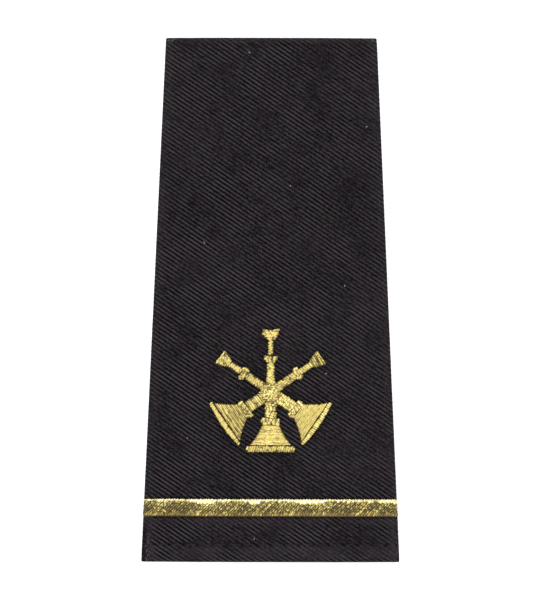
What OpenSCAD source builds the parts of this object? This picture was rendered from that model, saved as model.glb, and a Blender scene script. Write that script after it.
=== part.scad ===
// Slip-on shoulder board: a flat tapered sleeve of black twill with a gold stripe
// and three crossed bugles in gold satin stitch.
// It lies on its back. X runs across it, Y runs from the wide base edge to the
// narrow collar edge, and Z runs out of the front. The origin is under its middle.

/* [Sleeve] */
// Length from the base edge to the collar edge
sleeve_length = 110; // [95:1:130]
// Width across the base edge
base_width = 54; // [50:0.5:62]
// Width across the collar edge
collar_width = 44; // [40:0.5:52]
// Thickness of the cloth of the front and the back
cloth_wall = 1; // [1:0.1:1.5]
// Clear height of the strap's way through the mouths, at their middle
strap_way = 4.3; // [3.5:0.1:6]
// Outer radius of the two side folds
fold_radius = 1.7; // [1.5:0.1:2.2]
// How far the front sags at half its length
front_sag = 0.5; // [0:0.1:1]
// Radius of the rolled edge round each mouth
edge_radius = 0.7; // [0.3:0.1:0.8]
// Gap between the back's side edges and the front's
seam_clearance = 0.1; // [0.05:0.01:0.2]

/* [Hems] */
// Depth of the hem inside the wide mouth
base_hem_depth = 5.5; // [4:0.1:12]
// Depth of the hem inside the narrow mouth
collar_hem_depth = 4.5; // [4:0.1:12]
// Thickness of the hems' turned-in cloth
hem_ply = 1; // [1:0.1:1.5]
// Gap between a hem and the front's inner face
hem_clearance = 0.08; // [0.05:0.01:0.2]

/* [Stripe] */
// Height of the stripe's lower edge above the base edge
stripe_height = 9.5; // [7:0.1:14]
// Width of the stripe
stripe_width = 3.6; // [2.5:0.1:6]
// How far the stripe's crown stands out of the cloth
stripe_relief = 0.7; // [0.4:0.05:1]

/* [Bugles] */
// Height of the bugles' crossing above the base edge
crossing_height = 35.6; // [33:0.1:45]
// Reach of the centre bugle from the crossing to its mouthpiece's end
centre_reach = 13.2; // [12.5:0.1:15]
// Reach of the side bugles from the crossing to their mouthpieces' ends
side_reach = 12.9; // [12.5:0.1:15]
// Angle between the centre bugle and each side bugle
side_lean = 55.5; // [53:0.5:60]
// Length of a bell's rim, across its bugle
rim_length = 10.4; // [8:0.1:11]
// How far the bells stand out of the cloth
satin_relief = 0.9; // [0.5:0.05:1.2]
// Thickness of a stitched field at its edges
satin_edge = 0.2; // [0.1:0.05:0.3]
// Width of the knot over the crossing
knot_width = 4.5; // [3.8:0.1:5]
// How far the knot's middle lies below the crossing
knot_drop = 0.5; // [0:0.1:0.8]
// How far the knot stands out of the cloth
knot_relief = 1.3; // [0.9:0.05:1.6]
// Gap between one stitched field and the next, and between them and the cloth
stitch_clearance = 0.08; // [0.05:0.01:0.12]

/* [Hidden] */
FIELDS = ["rim", "bell", "lower_collar", "lower_tube", "upper_tube", "upper_collar",
          "neck", "mouthpiece"];
BUGLES = ["centre", "left", "right"];

// Where each stitched field of a bugle begins and ends along it, from the bell's end
// to the mouthpiece's, as shares of the bugle's reach with minus towards the
// mouthpiece. Widths are shares of the rim's length, reliefs are shares of the bells'
// relief. The hollow is how far the field's outer end is hollowed at its middle, as a
// share of the field's length, with minus for a bulge. The tubes end at the knot.
COLUMNS = ["name", "from", "to", "width_from", "width_to", "flare", "hollow", "relief"];
CENTRE_FIELDS = [
    ["rim",           0.962,  0.848,  0.990, 0.985, 1.00, 0.00, 1.15],
    ["bell",          0.848,  0.527,  0.865, 0.345, 0.74, 0.00, 1.00],
    ["lower_collar",  0.527,  0.417,  0.385, 0.405, 1.00, 0.00, 1.25],
    ["lower_tube",    0.417, "knot",  0.265, 0.255, 1.00, 0.00, 1.10],
    ["upper_tube",   -0.477, "knot",  0.165, 0.215, 1.00, 0.00, 1.00],
    ["upper_collar", -0.573, -0.477,  0.285, 0.260, 1.00, 0.00, 1.10],
    ["neck",         -0.833, -0.573,  0.110, 0.125, 1.00, 0.00, 0.85],
    ["mouthpiece",   -1.000, -0.833,  0.355, 0.150, 0.95, 0.30, 1.00]
];
SIDE_FIELDS = [
    ["rim",           0.918,  0.855,  1.020, 1.020, 1.00, -0.70, 1.05],
    ["bell",          0.855,  0.543,  0.955, 0.340, 0.72, 0.00, 1.00],
    ["lower_collar",  0.543,  0.450,  0.385, 0.405, 1.00, 0.00, 1.20],
    ["lower_tube",    0.450, "knot",  0.255, 0.250, 1.00, 0.00, 1.05],
    ["upper_tube",   -0.495, "knot",  0.185, 0.200, 1.00, 0.00, 0.95],
    ["upper_collar", -0.574, -0.495,  0.290, 0.270, 1.00, 0.00, 1.10],
    ["neck",         -0.822, -0.574,  0.135, 0.145, 1.00, 0.00, 0.85],
    ["mouthpiece",   -1.000, -0.822,  0.325, 0.155, 1.60, 0.00, 1.00]
];

TWILL = "#2b282c";
LINING = "#232125";
GOLD = "#e2cd6c";

half_length = sleeve_length / 2;
mouth_height = 2 * cloth_wall + strap_way + hem_ply + hem_clearance;
crossing_y = crossing_height - half_length;
stripe_y = stripe_height - half_length;

// Steps round a side fold, from the front's middle to where the fold begins,
// and between the rolled edges of the two mouths.
fold_steps = 6;
crown_steps = 10;
length_steps = 8;
edge_steps = 3;
// The crown's columns crowd towards the side folds, where it bends most.
crown_turn = 80;
side_column = crown_steps + fold_steps;
stripe_column = crown_steps + fold_steps / 2;
hem_column = crown_steps - 2;

// Half the sleeve's width at a place along it, and half the width between its folds.
function half_width(y) =
    (base_width + collar_width) / 4 - (base_width - collar_width) * y / (2 * sleeve_length);
function flat_half(y) = half_width(y) - fold_radius;

// The front's crown: how high it stands, and how it falls towards the side folds.
function crown_rise(y) =
    mouth_height - 2 * fold_radius - front_sag * pow(1 - pow(y / half_length, 2), 2);
function crown_fall(share) = pow(share, 6) * (7 - 6 * share);
function crown_slope(share) = 42 * pow(share, 5) * (1 - share);
function cloth_z(x, y) =
    2 * fold_radius + crown_rise(y) * (1 - crown_fall(abs(x) / flat_half(y)));

// A point of the front at a place along it, a column from the left seam (minus) to the
// right seam (plus), and a depth under its outer face.
function crown_point(y, share, depth) =
    let (
        x = share * flat_half(y),
        slope = -sign(share) * crown_slope(abs(share)) * crown_rise(y) / flat_half(y),
        norm = sqrt(1 + slope * slope)
    )
    [x + depth * slope / norm, y, cloth_z(x, y) - depth / norm];
function fold_point(y, side, turn, depth) =
    [side * (flat_half(y) + (fold_radius - depth) * sin(turn)), y,
     fold_radius + (fold_radius - depth) * cos(turn)];
function fold_turn(column) = 180 * max(0, abs(column) - crown_steps) / fold_steps;
function front_point(y, column, depth) =
    abs(column) <= crown_steps
    ? crown_point(y, sin(crown_turn * column / crown_steps) / sin(crown_turn), depth)
    : fold_point(y, sign(column), fold_turn(column), depth);

// Rows from one mouth to the other, each with its place and how far its rolled edge
// lies inside the face. At the side folds the cloth is creased, and its edge is sharper.
corner_share = 0.25;
function edge_share(column) = 1 - (1 - corner_share) * sin(fold_turn(column));
function edge_rows(end, inwards) =
    [for (step = [0:edge_steps])
        let (turn = 90 * step / edge_steps)
        [end + inwards * edge_radius * (1 - cos(turn)), edge_radius * (1 - sin(turn))]];
function reversed(rows) = [for (i = [len(rows) - 1:-1:0]) rows[i]];
function plain_rows(low, high, steps) =
    [for (step = [1:steps - 1]) [low + (high - low) * step / steps, 0]];

// A closed solid between two sheets of points with the same rows and columns.
module slab(lower, upper) {
    rows = len(lower);
    columns = len(lower[0]);
    count = rows * columns;
    function at(row, column) = row * columns + column;
    function over(row, column) = count + at(row, column);
    sheets = [
        for (row = [0:rows - 2]) for (column = [0:columns - 2]) each [
            [over(row, column), over(row + 1, column), over(row + 1, column + 1)],
            [over(row, column), over(row + 1, column + 1), over(row, column + 1)],
            [at(row, column), at(row + 1, column + 1), at(row + 1, column)],
            [at(row, column), at(row, column + 1), at(row + 1, column + 1)]
        ]
    ];
    sides = [
        for (row = [0:rows - 2]) for (column = [0, columns - 1])
            let (
                a = column == 0 ? row + 1 : row,
                b = column == 0 ? row : row + 1
            )
            each [
                [at(a, column), over(b, column), at(b, column)],
                [at(a, column), over(a, column), over(b, column)]
            ]
    ];
    ends = [
        for (column = [0:columns - 2]) for (row = [0, rows - 1])
            let (
                a = row == 0 ? column : column + 1,
                b = row == 0 ? column + 1 : column
            )
            each [
                [at(row, a), over(row, b), at(row, b)],
                [at(row, a), over(row, a), over(row, b)]
            ]
    ];
    polyhedron(
        points = concat([for (row = lower) each row], [for (row = upper) each row]),
        faces = concat(sheets, sides, ends)
    );
}

module front_panel() {
    rows = concat(
        edge_rows(-half_length, 1),
        plain_rows(-half_length + edge_radius, half_length - edge_radius, length_steps),
        reversed(edge_rows(half_length, -1))
    );
    color(TWILL)
    slab(
        [for (row = rows) [for (column = [-side_column:side_column])
            front_point(row[0], column, cloth_wall)]],
        [for (row = rows) [for (column = [-side_column:side_column])
            front_point(row[0], column, row[1] * edge_share(column))]]
    );
}

module back_panel() {
    base_half = flat_half(-half_length) - seam_clearance;
    collar_half = flat_half(half_length) - seam_clearance;
    color(LINING)
    linear_extrude(height = cloth_wall)
    polygon([
        [-base_half, -half_length],
        [base_half, -half_length],
        [collar_half, half_length],
        [-collar_half, half_length]
    ]);
}

// A hem lies under the front's inner face, with its rolled edge at the mouth.
module hem(rows) {
    outer = cloth_wall + hem_clearance;
    color(TWILL)
    slab(
        [for (row = rows) [for (column = [-hem_column:hem_column])
            front_point(row[0], column, outer + hem_ply - row[1])]],
        [for (row = rows) [for (column = [-hem_column:hem_column])
            front_point(row[0], column, outer)]]
    );
}

module base_hem() {
    hem(concat(edge_rows(-half_length, 1), [[-half_length + base_hem_depth, 0]]));
}

module collar_hem() {
    hem(concat([[half_length - collar_hem_depth, 0]], reversed(edge_rows(half_length, -1))));
}

// The stripe's crown, and how its threads thin out as they turn down the side folds.
stripe_steps = 8;
stripe_edge = 0.12;
function stripe_thinning(column) = pow(cos(fold_turn(column)), 2);
function stripe_depth(step, column) =
    -stitch_clearance - stripe_edge
    - (stripe_relief - stripe_edge) * sin(180 * step / stripe_steps) * stripe_thinning(column);

module rank_stripe() {
    places = [for (step = [0:stripe_steps])
        stripe_y + stripe_width * (1 - cos(180 * step / stripe_steps)) / 2];
    color(GOLD)
    slab(
        [for (step = [0:stripe_steps]) [for (column = [-stripe_column:stripe_column])
            front_point(places[step], column, -stitch_clearance)]],
        [for (step = [0:stripe_steps]) [for (column = [-stripe_column:stripe_column])
            front_point(places[step], column, stripe_depth(step, column))]]
    );
}

// The knot is the top of a ball that stands on the cloth.
module crossing_knot() {
    radius = knot_width / 2;
    height = knot_relief - stitch_clearance;
    ball = (radius * radius + height * height) / (2 * height);
    color(GOLD)
    translate([0, crossing_y - knot_drop, cloth_z(0, crossing_y - knot_drop) + stitch_clearance])
    intersection() {
        translate([0, 0, height - ball])
            sphere(r = ball, $fn = 128);
        translate([-knot_width, -knot_width, 0])
            cube([2 * knot_width, 2 * knot_width, 2 * knot_relief]);
    }
}

// What a field's row of the table says under a column's heading.
function value(field, column) = field[search([column], COLUMNS)[0]];
function fields_of(bugle) = bugle == "centre" ? CENTRE_FIELDS : SIDE_FIELDS;
function reach_of(bugle) = bugle == "centre" ? centre_reach : side_reach;

// Direction of a bugle's bell: the centre bugle's points at the base edge.
function bell_direction(bugle) =
    bugle == "left" ? -90 - side_lean : bugle == "right" ? -90 + side_lean : -90;

// How far from the crossing a tube of some width begins in a direction: clear of the
// knot, and clear of the tubes beside it.
arm_angle = min(side_lean, 180 - 2 * side_lean);
function tube_start(direction, width) =
    max(
        sqrt(pow(knot_width / 2, 2) - pow(knot_drop * cos(direction), 2))
        - knot_drop * sin(direction),
        width / (2 * tan(arm_angle / 2))
    ) + stitch_clearance;

// A field's two ends along its bugle, each drawn in by half the gap to the next field.
function outer_end(bugle, field) =
    let (from = value(field, "from"), inwards = value(field, "to") == "knot" ? -sign(from)
        : sign(value(field, "to") - from))
    from * reach_of(bugle) + inwards * stitch_clearance / 2;
function inner_end(bugle, field) =
    let (
        to = value(field, "to"),
        way = sign(value(field, "from")),
        direction = bell_direction(bugle) + (way < 0 ? 180 : 0),
        width = max(value(field, "width_from"), value(field, "width_to")) * rim_length
    )
    to == "knot"
    ? way * tube_start(direction, width)
    : to * reach_of(bugle) - sign(to - value(field, "from")) * stitch_clearance / 2;

// A stitched field is a cushion that follows the cloth: a row for each step along the
// bugle, with its columns crowding towards its two sides.
field_rows = 6;
field_columns = 6;
function field_sheet(bugle, field, raised) =
    let (
        turn = bell_direction(bugle),
        start = outer_end(bugle, field),
        finish = inner_end(bugle, field),
        width_from = value(field, "width_from") * rim_length,
        width_to = value(field, "width_to") * rim_length,
        hollow = value(field, "hollow") * (finish - start),
        rise = value(field, "relief") * satin_relief - stitch_clearance - satin_edge
    )
    [for (row = [0:field_rows])
        let (
            share = (1 - cos(180 * row / field_rows)) / 2,
            width = width_from + (width_to - width_from) * pow(share, value(field, "flare")),
            end_cap = sqrt(1 - pow(2 * share - 1, 4))
        )
        [for (column = [0:field_columns])
            let (
                across = -cos(180 * column / field_columns) * sign(start - finish),
                side_cap = sin(180 * column / field_columns),
                place = start + (finish - start) * share
                    + hollow * (1 - share) * (1 - across * across),
                aside = across * width / 2,
                x = place * cos(turn) + aside * sin(turn),
                y = crossing_y + place * sin(turn) - aside * cos(turn)
            )
            [x, y, cloth_z(x, y) + stitch_clearance
                + (raised ? satin_edge + rise * end_cap * side_cap : 0)]]];

module stitched_field(bugle, index) {
    field = fields_of(bugle)[index];
    color(GOLD)
    slab(field_sheet(bugle, field, false), field_sheet(bugle, field, true));
}

front_panel();
back_panel();
base_hem();
collar_hem();
rank_stripe();
crossing_knot();
for (bugle = BUGLES)
    for (index = [0:len(FIELDS) - 1])
        stitched_field(bugle, index);
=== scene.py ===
"""Dresses a slip-on shoulder board: black twill, hems and seams, a gold satin stripe and three
crossed bugles in gold satin stitch. It lies on its back on a pale floor, seen from straight above.

Everything is in metres. X runs across the board, Y from the wide base edge to the narrow collar
edge, and Z out of its front.
"""

import math
import typing

import bmesh
import bpy
import numpy as np
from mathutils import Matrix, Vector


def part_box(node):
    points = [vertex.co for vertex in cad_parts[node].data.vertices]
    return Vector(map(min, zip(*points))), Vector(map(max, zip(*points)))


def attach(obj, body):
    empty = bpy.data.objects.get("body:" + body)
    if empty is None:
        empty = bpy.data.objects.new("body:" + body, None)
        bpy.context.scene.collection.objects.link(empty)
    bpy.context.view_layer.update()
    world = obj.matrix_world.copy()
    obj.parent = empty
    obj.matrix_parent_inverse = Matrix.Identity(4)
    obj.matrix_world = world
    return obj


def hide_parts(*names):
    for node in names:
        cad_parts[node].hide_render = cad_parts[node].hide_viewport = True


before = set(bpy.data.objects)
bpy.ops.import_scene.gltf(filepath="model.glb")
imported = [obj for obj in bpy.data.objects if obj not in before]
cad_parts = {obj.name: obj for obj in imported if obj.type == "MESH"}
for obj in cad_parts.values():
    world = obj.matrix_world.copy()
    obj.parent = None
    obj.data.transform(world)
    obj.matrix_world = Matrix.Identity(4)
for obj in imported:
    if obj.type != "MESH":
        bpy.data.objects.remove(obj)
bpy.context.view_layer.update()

bl_info = {
    "name": "Shoulder board",
    "version": (1, 0, 0),
    "blender": (4, 5, 0),
    "location": "View3D > Sidebar > Shoulder board",
    "description": "Twill, seams and gold satin stitch for a slip-on shoulder board",
    "category": "Add Mesh",
}

MM = 0.001
HALF_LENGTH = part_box("front_panel")[1].y
STRIPE_LOW, STRIPE_HIGH = (corner.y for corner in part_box("rank_stripe"))


# Settings


def length(label, about, default, low=0.0, high=1.0):
    return bpy.props.FloatProperty(
        name=label, description=about, default=default, min=low, max=high,
        unit="LENGTH", subtype="DISTANCE", precision=5)


def fraction(label, about, default, low=0.0, high=1.0):
    return bpy.props.FloatProperty(
        name=label, description=about, default=default, min=low, max=high, subtype="FACTOR")


def angle(label, about, degrees):
    return bpy.props.FloatProperty(
        name=label, description=about, default=math.radians(degrees), unit="ROTATION", subtype="ANGLE")


def colour(label, about, default):
    return bpy.props.FloatVectorProperty(
        name=label, description=about, default=default, size=3, min=0.0, max=1.0, subtype="COLOR")


def power(label, about, default):
    return bpy.props.FloatProperty(
        name=label, description=about, default=default, min=0.0, unit="POWER")


class SleeveSizes(bpy.types.PropertyGroup):
    """Sizes of the sleeve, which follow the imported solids."""

    base_width: length("Base width", "Width across the base edge", 0.0543)
    collar_width: length("Collar width", "Width across the collar edge", 0.0443)
    cloth_wall: length("Cloth", "Thickness of the front and the back", 0.001)
    mouth_height: length("Mouth height", "Height of the mouths at their middle", 0.00738)
    fold_radius: length("Fold radius", "Outer radius of the side folds", 0.0017)
    front_sag: length("Sag", "How far the front sags at half its length", 0.0005)
    seam_clearance: length("Seam gap", "Gap between the back's edges and the front's", 0.0001)
    base_hem_depth: length("Base hem", "Depth of the hem in the wide mouth", 0.0055)
    collar_hem_depth: length("Collar hem", "Depth of the hem in the narrow mouth", 0.0045)
    waviness: length("Waviness", "How far the front's face wanders up and down", 0.00009)


class TwillFinish(bpy.types.PropertyGroup):
    """The weave of the cloth, its colours and those of its sewing thread and lint."""

    rib_pitch: length("Rib pitch", "Distance from one rib to the next", 0.00078)
    rib_depth: length("Rib depth", "How deep the lines between the ribs are", 0.00019)
    rib_angle: angle("Rib angle", "How far the ribs fall towards the right", 33.6)
    back_rib_pitch: length("Back rib pitch", "Rib pitch of the back's lighter cloth", 0.0006)
    back_rib_depth: length("Back rib depth", "Rib depth of the back's lighter cloth", 0.00008)
    black: colour("Black", "Colour of the twill", (0.0066, 0.0054, 0.0065))
    lining: colour("Lining", "Colour of the back's cloth", (0.0084, 0.0080, 0.0089))
    seam_thread: colour("Seam thread", "Colour of the seams' thread", (0.0125, 0.0110, 0.0128))
    tack_thread: colour("Tack thread", "Colour of the bar tacks' thread", (0.064, 0.061, 0.064))
    lint: colour("Lint", "Colour of the specks of lint", (0.36, 0.35, 0.37))


class GoldStitching(bpy.types.PropertyGroup):
    """Gold thread and how closely it is laid."""

    stoutness: fraction("Stoutness", "Half a thread's width as a share of its pitch", 0.56)
    half_height: length("Half height", "Half the height of a laid thread", 0.00012)
    twist: length("Twist", "Length of one turn of the two plies", 0.0011)
    stripe_stout: length("Stripe thread", "Half the width of a thread of the stripe", 0.00018)
    stripe_pitch: length("Stripe pitch", "Distance between threads along the stripe", 0.00060)
    stripe_slant: angle("Stripe slant", "How far the stripe's threads lean to the right", 44)
    gold: colour("Gold", "Colour of the thread", (0.39, 0.305, 0.096))
    # Yellow is the lit satin; pale gold is painted highlight, olive painted shade and umber the painted
    # shade between threads: lit and shaded copies of the gold.
    yellow: colour("Yellow", "Colour of its smooth, lit satin", (0.545, 0.45, 0.150))
    pale: colour("Pale gold", "Colour of its brightest turns", (0.68, 0.62, 0.41))
    shaded_olive: colour("Olive", "Colour of its duller turns", (0.162, 0.124, 0.038))
    umber: colour("Umber", "Colour of the padding under it", (0.044, 0.031, 0.010))


class StudioSetup(bpy.types.PropertyGroup):
    """Camera, lights and floor."""

    camera_height: length("Camera height", "Height of the camera over the floor", 4.5, high=10.0)
    view_height: length("View height", "Height of the floor that the picture shows", 0.12585)
    picture_turn: angle("Turn", "How far the board is turned in the picture", 0.12)
    key_power: power("Key", "Strength of the light beyond the collar edge", 15.0)
    fill_power: power("Fill", "Strength of the light before the base edge", 16.0)
    sky: fraction("Sky", "Strength of the even light from all round", 0.92, high=3.0)


# Curves and meshes


def bell_curve(distance, width):
    """1 at no distance, falling away smoothly over about the width."""
    return np.exp(-(distance / width)**2)


def near(distance, reach, over=None):
    """1 at a short distance, falling evenly to 0 at reach over its last stretch, or over it all."""
    return np.clip((reach - distance) / (over or reach), 0, 1)


def to_end(run):
    """Distance to the nearer end of a run that starts at 0."""
    return np.minimum(run, run[-1] - run)


def run_along(path):
    """Distance along a path (k, 3) from its first point."""
    return np.concatenate([[0], np.cumsum(np.linalg.norm(np.diff(path, axis=0), axis=1))])


def eased(count):
    """Shares from 0 to 1 that crowd at both ends."""
    return (1 - np.cos(np.linspace(0, math.pi, count))) / 2


def ripples(x, y, size, seed, waves=7):
    """Smooth uneven hills from -1 to 1 or so, about as wide as size, the same at each run."""
    random = np.random.default_rng(seed)
    total = np.zeros(np.broadcast(x, y).shape)
    for turn, start, stretch in random.uniform(0, 1, (waves, 3)):
        way = 2 * math.pi * turn
        step = 2 * math.pi / (size * (0.7 + 0.9 * stretch))
        total += np.sin((x * math.cos(way) + y * math.sin(way)) * step + 2 * math.pi * start)
    return total / math.sqrt(waves)


def grid_faces(rows, columns, first=0, flipped=False):
    """Quads between the points of a grid that is stored row by row."""
    row, column = np.meshgrid(np.arange(rows - 1), np.arange(columns - 1), indexing="ij")
    corner = (first + row * columns + column).ravel()
    quads = np.stack([corner, corner + 1, corner + columns + 1, corner + columns], 1)
    return quads[:, ::-1] if flipped else quads


def zipped(first, second):
    """Triangles between two lists of (place, point), each in the order of its places."""
    faces, i, j = [], 0, 0
    while i < len(first) - 1 or j < len(second) - 1:
        onward = j == len(second) - 1 or (
            i < len(first) - 1 and first[i + 1][0] <= second[j + 1][0])
        if onward:
            faces.append((first[i][1], first[i + 1][1], second[j][1]))
            i += 1
        else:
            faces.append((first[i][1], second[j + 1][1], second[j][1]))
            j += 1
    return [face for face in faces if len(set(face)) == 3]


class MeshParts:
    """Points, faces and what is written on the points, gathered for one mesh."""

    def __init__(self):
        self.points, self.faces, self.count = [], [], 0
        self.notes = {}

    def add(self, points, faces, **notes):
        """Adds points (n, 3) with their faces, and gives the first one's number in the mesh. Each
        note is one value for them all, or a number or a vector for each."""
        points = np.asarray(points, float).reshape(-1, 3)
        self.faces += [tuple(int(i) + self.count for i in face) for face in faces]
        for name, values in notes.items():
            values = np.asarray(values, float)
            if values.ndim == 0:
                values = np.full(len(points), float(values))
            self.notes.setdefault(name, []).append((self.count, values))
        self.points.append(points)
        self.count += len(points)
        return self.count - len(points)

    def write_note(self, mesh, name, parts):
        """Writes one note on the mesh's points, for its material to read."""
        vector = parts[0][1].ndim == 2
        kind, wide = ("FLOAT_VECTOR", 3) if vector else ("FLOAT", 1)
        whole = np.zeros((self.count, wide))
        for start, values in parts:
            whole[start:start + len(values)] = values.reshape(len(values), wide)
        layer = mesh.attributes.new(name, kind, "POINT")
        layer.data.foreach_set("vector" if vector else "value", whole.ravel().astype(np.float32))

    def make(self, name, material, sharp=math.radians(62)):
        """Makes the object. Faces are turned outwards and edges sharper than sharp stay so."""
        mesh = bpy.data.meshes.new(name)
        mesh.from_pydata(np.concatenate(self.points), [], self.faces)
        surface = bmesh.new()
        surface.from_mesh(mesh)
        bmesh.ops.recalc_face_normals(surface, faces=surface.faces)
        surface.to_mesh(mesh)
        surface.free()
        for note, parts in self.notes.items():
            self.write_note(mesh, note, parts)
        mesh.shade_smooth()
        mesh.set_sharp_from_angle(angle=sharp)
        mesh.materials.append(material)
        piece = bpy.data.objects.new(name, mesh)
        bpy.context.scene.collection.objects.link(piece)
        return piece


def dressed(piece, slot, *nodes):
    """The piece rides on the board, in place of the solids that it stands for."""
    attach(piece, "root")
    if nodes:
        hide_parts(*nodes)
    return piece


# The sleeve's form

# Columns run across the front from one side seam to the other: the crown lies between -10 and 10,
# and each side fold turns under between 10 and 16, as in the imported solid.
CROWN, SIDE = 10, 16
CROWN_TURN = math.radians(80)
HEM_COLUMN = CROWN - 2

# How far the back's columns crowd towards its edges.
CROWDING = math.radians(87.3)

# How much of its bend round a side fold a rib gives up, to look straight from above, and how
# much of its depth is stretched out there.
RIB_GIVE, RIB_STRETCH = 0.6, 0.75

# The rolled edges' radius as a share of the cloth's thickness, and what is left of it at the
# corners.
ROLL_SHARE, CORNER_SHARE = 0.97, 0.25

# Where the skin has rows across one rib, as shares of the pitch.
RIB_SAMPLES = np.array([0.0, 0.10, 0.27, 0.5, 0.73, 0.90])

# Numbers of columns on the crown, on each fold, on a hem and on the back, and of rows on the
# plain sides of the front and the back.
CROWN_COLUMNS, FOLD_COLUMNS, HEM_COLUMNS, BACK_COLUMNS = 97, 10, 81, 61
FRONT_ROWS, BACK_ROWS = 45, 25


class Sleeve:
    """Where the cloth lies. All its methods take numbers or arrays."""

    def __init__(self, sizes):
        self.sizes = sizes
        self.taper = (sizes.base_width - sizes.collar_width) / (4 * HALF_LENGTH)
        self.middle = (sizes.base_width + sizes.collar_width) / 4 - sizes.fold_radius

    def flat_half(self, y):
        """Half the width between the side folds."""
        return self.middle - self.taper * y

    def out(self, x, y):
        """0 at the middle and 1 where a side fold begins."""
        return np.clip(np.abs(x) / self.flat_half(y), 0, 1)

    def rise(self, y):
        """Height of the crown over the side folds, with the sag at half the length."""
        along = np.clip(y / HALF_LENGTH, -1, 1)
        sag = self.sizes.front_sag * (1 - along**2)**2
        return self.sizes.mouth_height - 2 * self.sizes.fold_radius - sag

    def lift(self, x, y):
        """How far the face wanders from its crown."""
        hills = ripples(x, y, 34 * MM, seed=4) + 0.35 * ripples(x, y, 12 * MM, seed=9)
        return self.sizes.waviness * (1 - self.out(x, y)**3)**2 * hills

    def top(self, x, y):
        """Height of the front's face."""
        out = self.out(x, y)
        fall = out**6 * (7 - 6 * out)
        return 2 * self.sizes.fold_radius + self.rise(y) * (1 - fall) + self.lift(x, y)

    def over(self, x, y, height):
        """A point at some height over the front's face."""
        return np.stack(np.broadcast_arrays(x, y, self.top(x, y) + height), -1)

    def share_of(self, column):
        """Where a column lies on the crown, as a share of half its width."""
        return np.sin(CROWN_TURN * np.clip(column, -CROWN, CROWN) / CROWN) / math.sin(CROWN_TURN)

    def turn_of(self, column):
        """How far round its side fold a column lies, up to half a turn."""
        return math.pi * np.maximum(0, np.abs(column) - CROWN) / (SIDE - CROWN)

    def across(self, column, y):
        """Distance from the middle along the cloth."""
        return self.share_of(column) * self.flat_half(y) + (
            np.sign(column) * self.turn_of(column) * self.sizes.fold_radius)

    def rib_shift(self, column):
        """How much less a rib runs on round a side fold, so that it stays straight from above."""
        turn = self.turn_of(column)
        quarter = np.minimum(turn, math.pi / 2)
        return -RIB_GIVE * np.sign(column) * self.sizes.fold_radius * (quarter - np.sin(quarter))

    def rib_columns(self, columns):
        """The two factors of each column's distance from the middle, for a TwillSkin."""
        return self.across(columns, 0.0) + self.rib_shift(columns), -self.share_of(columns) * self.taper

    def point(self, across, y, depth):
        """A point of the front at a distance across along the cloth, some depth under its face."""
        across, y, depth = np.broadcast_arrays(across, y, depth)
        radius, half = self.sizes.fold_radius, self.flat_half(y)
        x = np.clip(across, -half, half)
        step = 0.01 * MM
        slope = (self.top(np.clip(x + step, -half, half), y)
                 - self.top(np.clip(x - step, -half, half), y)) / (2 * step)
        steep = np.sqrt(1 + slope**2)
        crown = np.stack([x + depth * slope / steep, y, self.top(x, y) - depth / steep], -1)
        turn = np.clip((np.abs(across) - half) / radius, 0, math.pi)
        fold = np.stack([np.sign(across) * (half + (radius - depth) * np.sin(turn)), y,
                         radius + (radius - depth) * np.cos(turn)], -1)
        return np.where((turn > 0)[..., None], fold, crown)

    def roll_radius(self, column):
        """Radius of the rolled edge at the mouths: sharp at the side folds, round between them."""
        corner = (1 - CORNER_SHARE) * np.sin(self.turn_of(column))
        return self.sizes.cloth_wall * ROLL_SHARE * (1 - corner)

    def tip(self, column):
        """How far along the cloth the rolled edge's tip lies."""
        radius = self.roll_radius(column)
        return HALF_LENGTH - radius + radius * math.pi / 2

    def front_place(self, column, along):
        """Where the front's face lies, with its edges rolled in at both mouths."""
        radius = self.roll_radius(column)
        turn = np.clip((np.abs(along) - HALF_LENGTH + radius) / radius, 0, math.pi / 2)
        rolled = np.sign(along) * (HALF_LENGTH - radius + radius * np.sin(turn))
        y = np.where(turn > 0, rolled, along)
        return self.point(self.across(column, y), y, radius * (1 - np.cos(turn)))


def skin_normals(place, column, along):
    """Unit normals of a skin, from how its place changes with column and along."""
    column_step, along_step = 1e-3, 1e-3 * MM
    over = place(column + column_step, along) - place(column - column_step, along)
    onward = place(column, along + along_step) - place(column, along - along_step)
    normal = np.cross(over, onward)
    return normal / np.linalg.norm(normal, axis=-1, keepdims=True)


def rib_profile(phase):
    """Height from 0 to 1 over one rib: round, with a narrow line between it and the next."""
    turn = phase % 1.0
    return np.sin(math.pi * turn**0.92)**0.75


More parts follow.
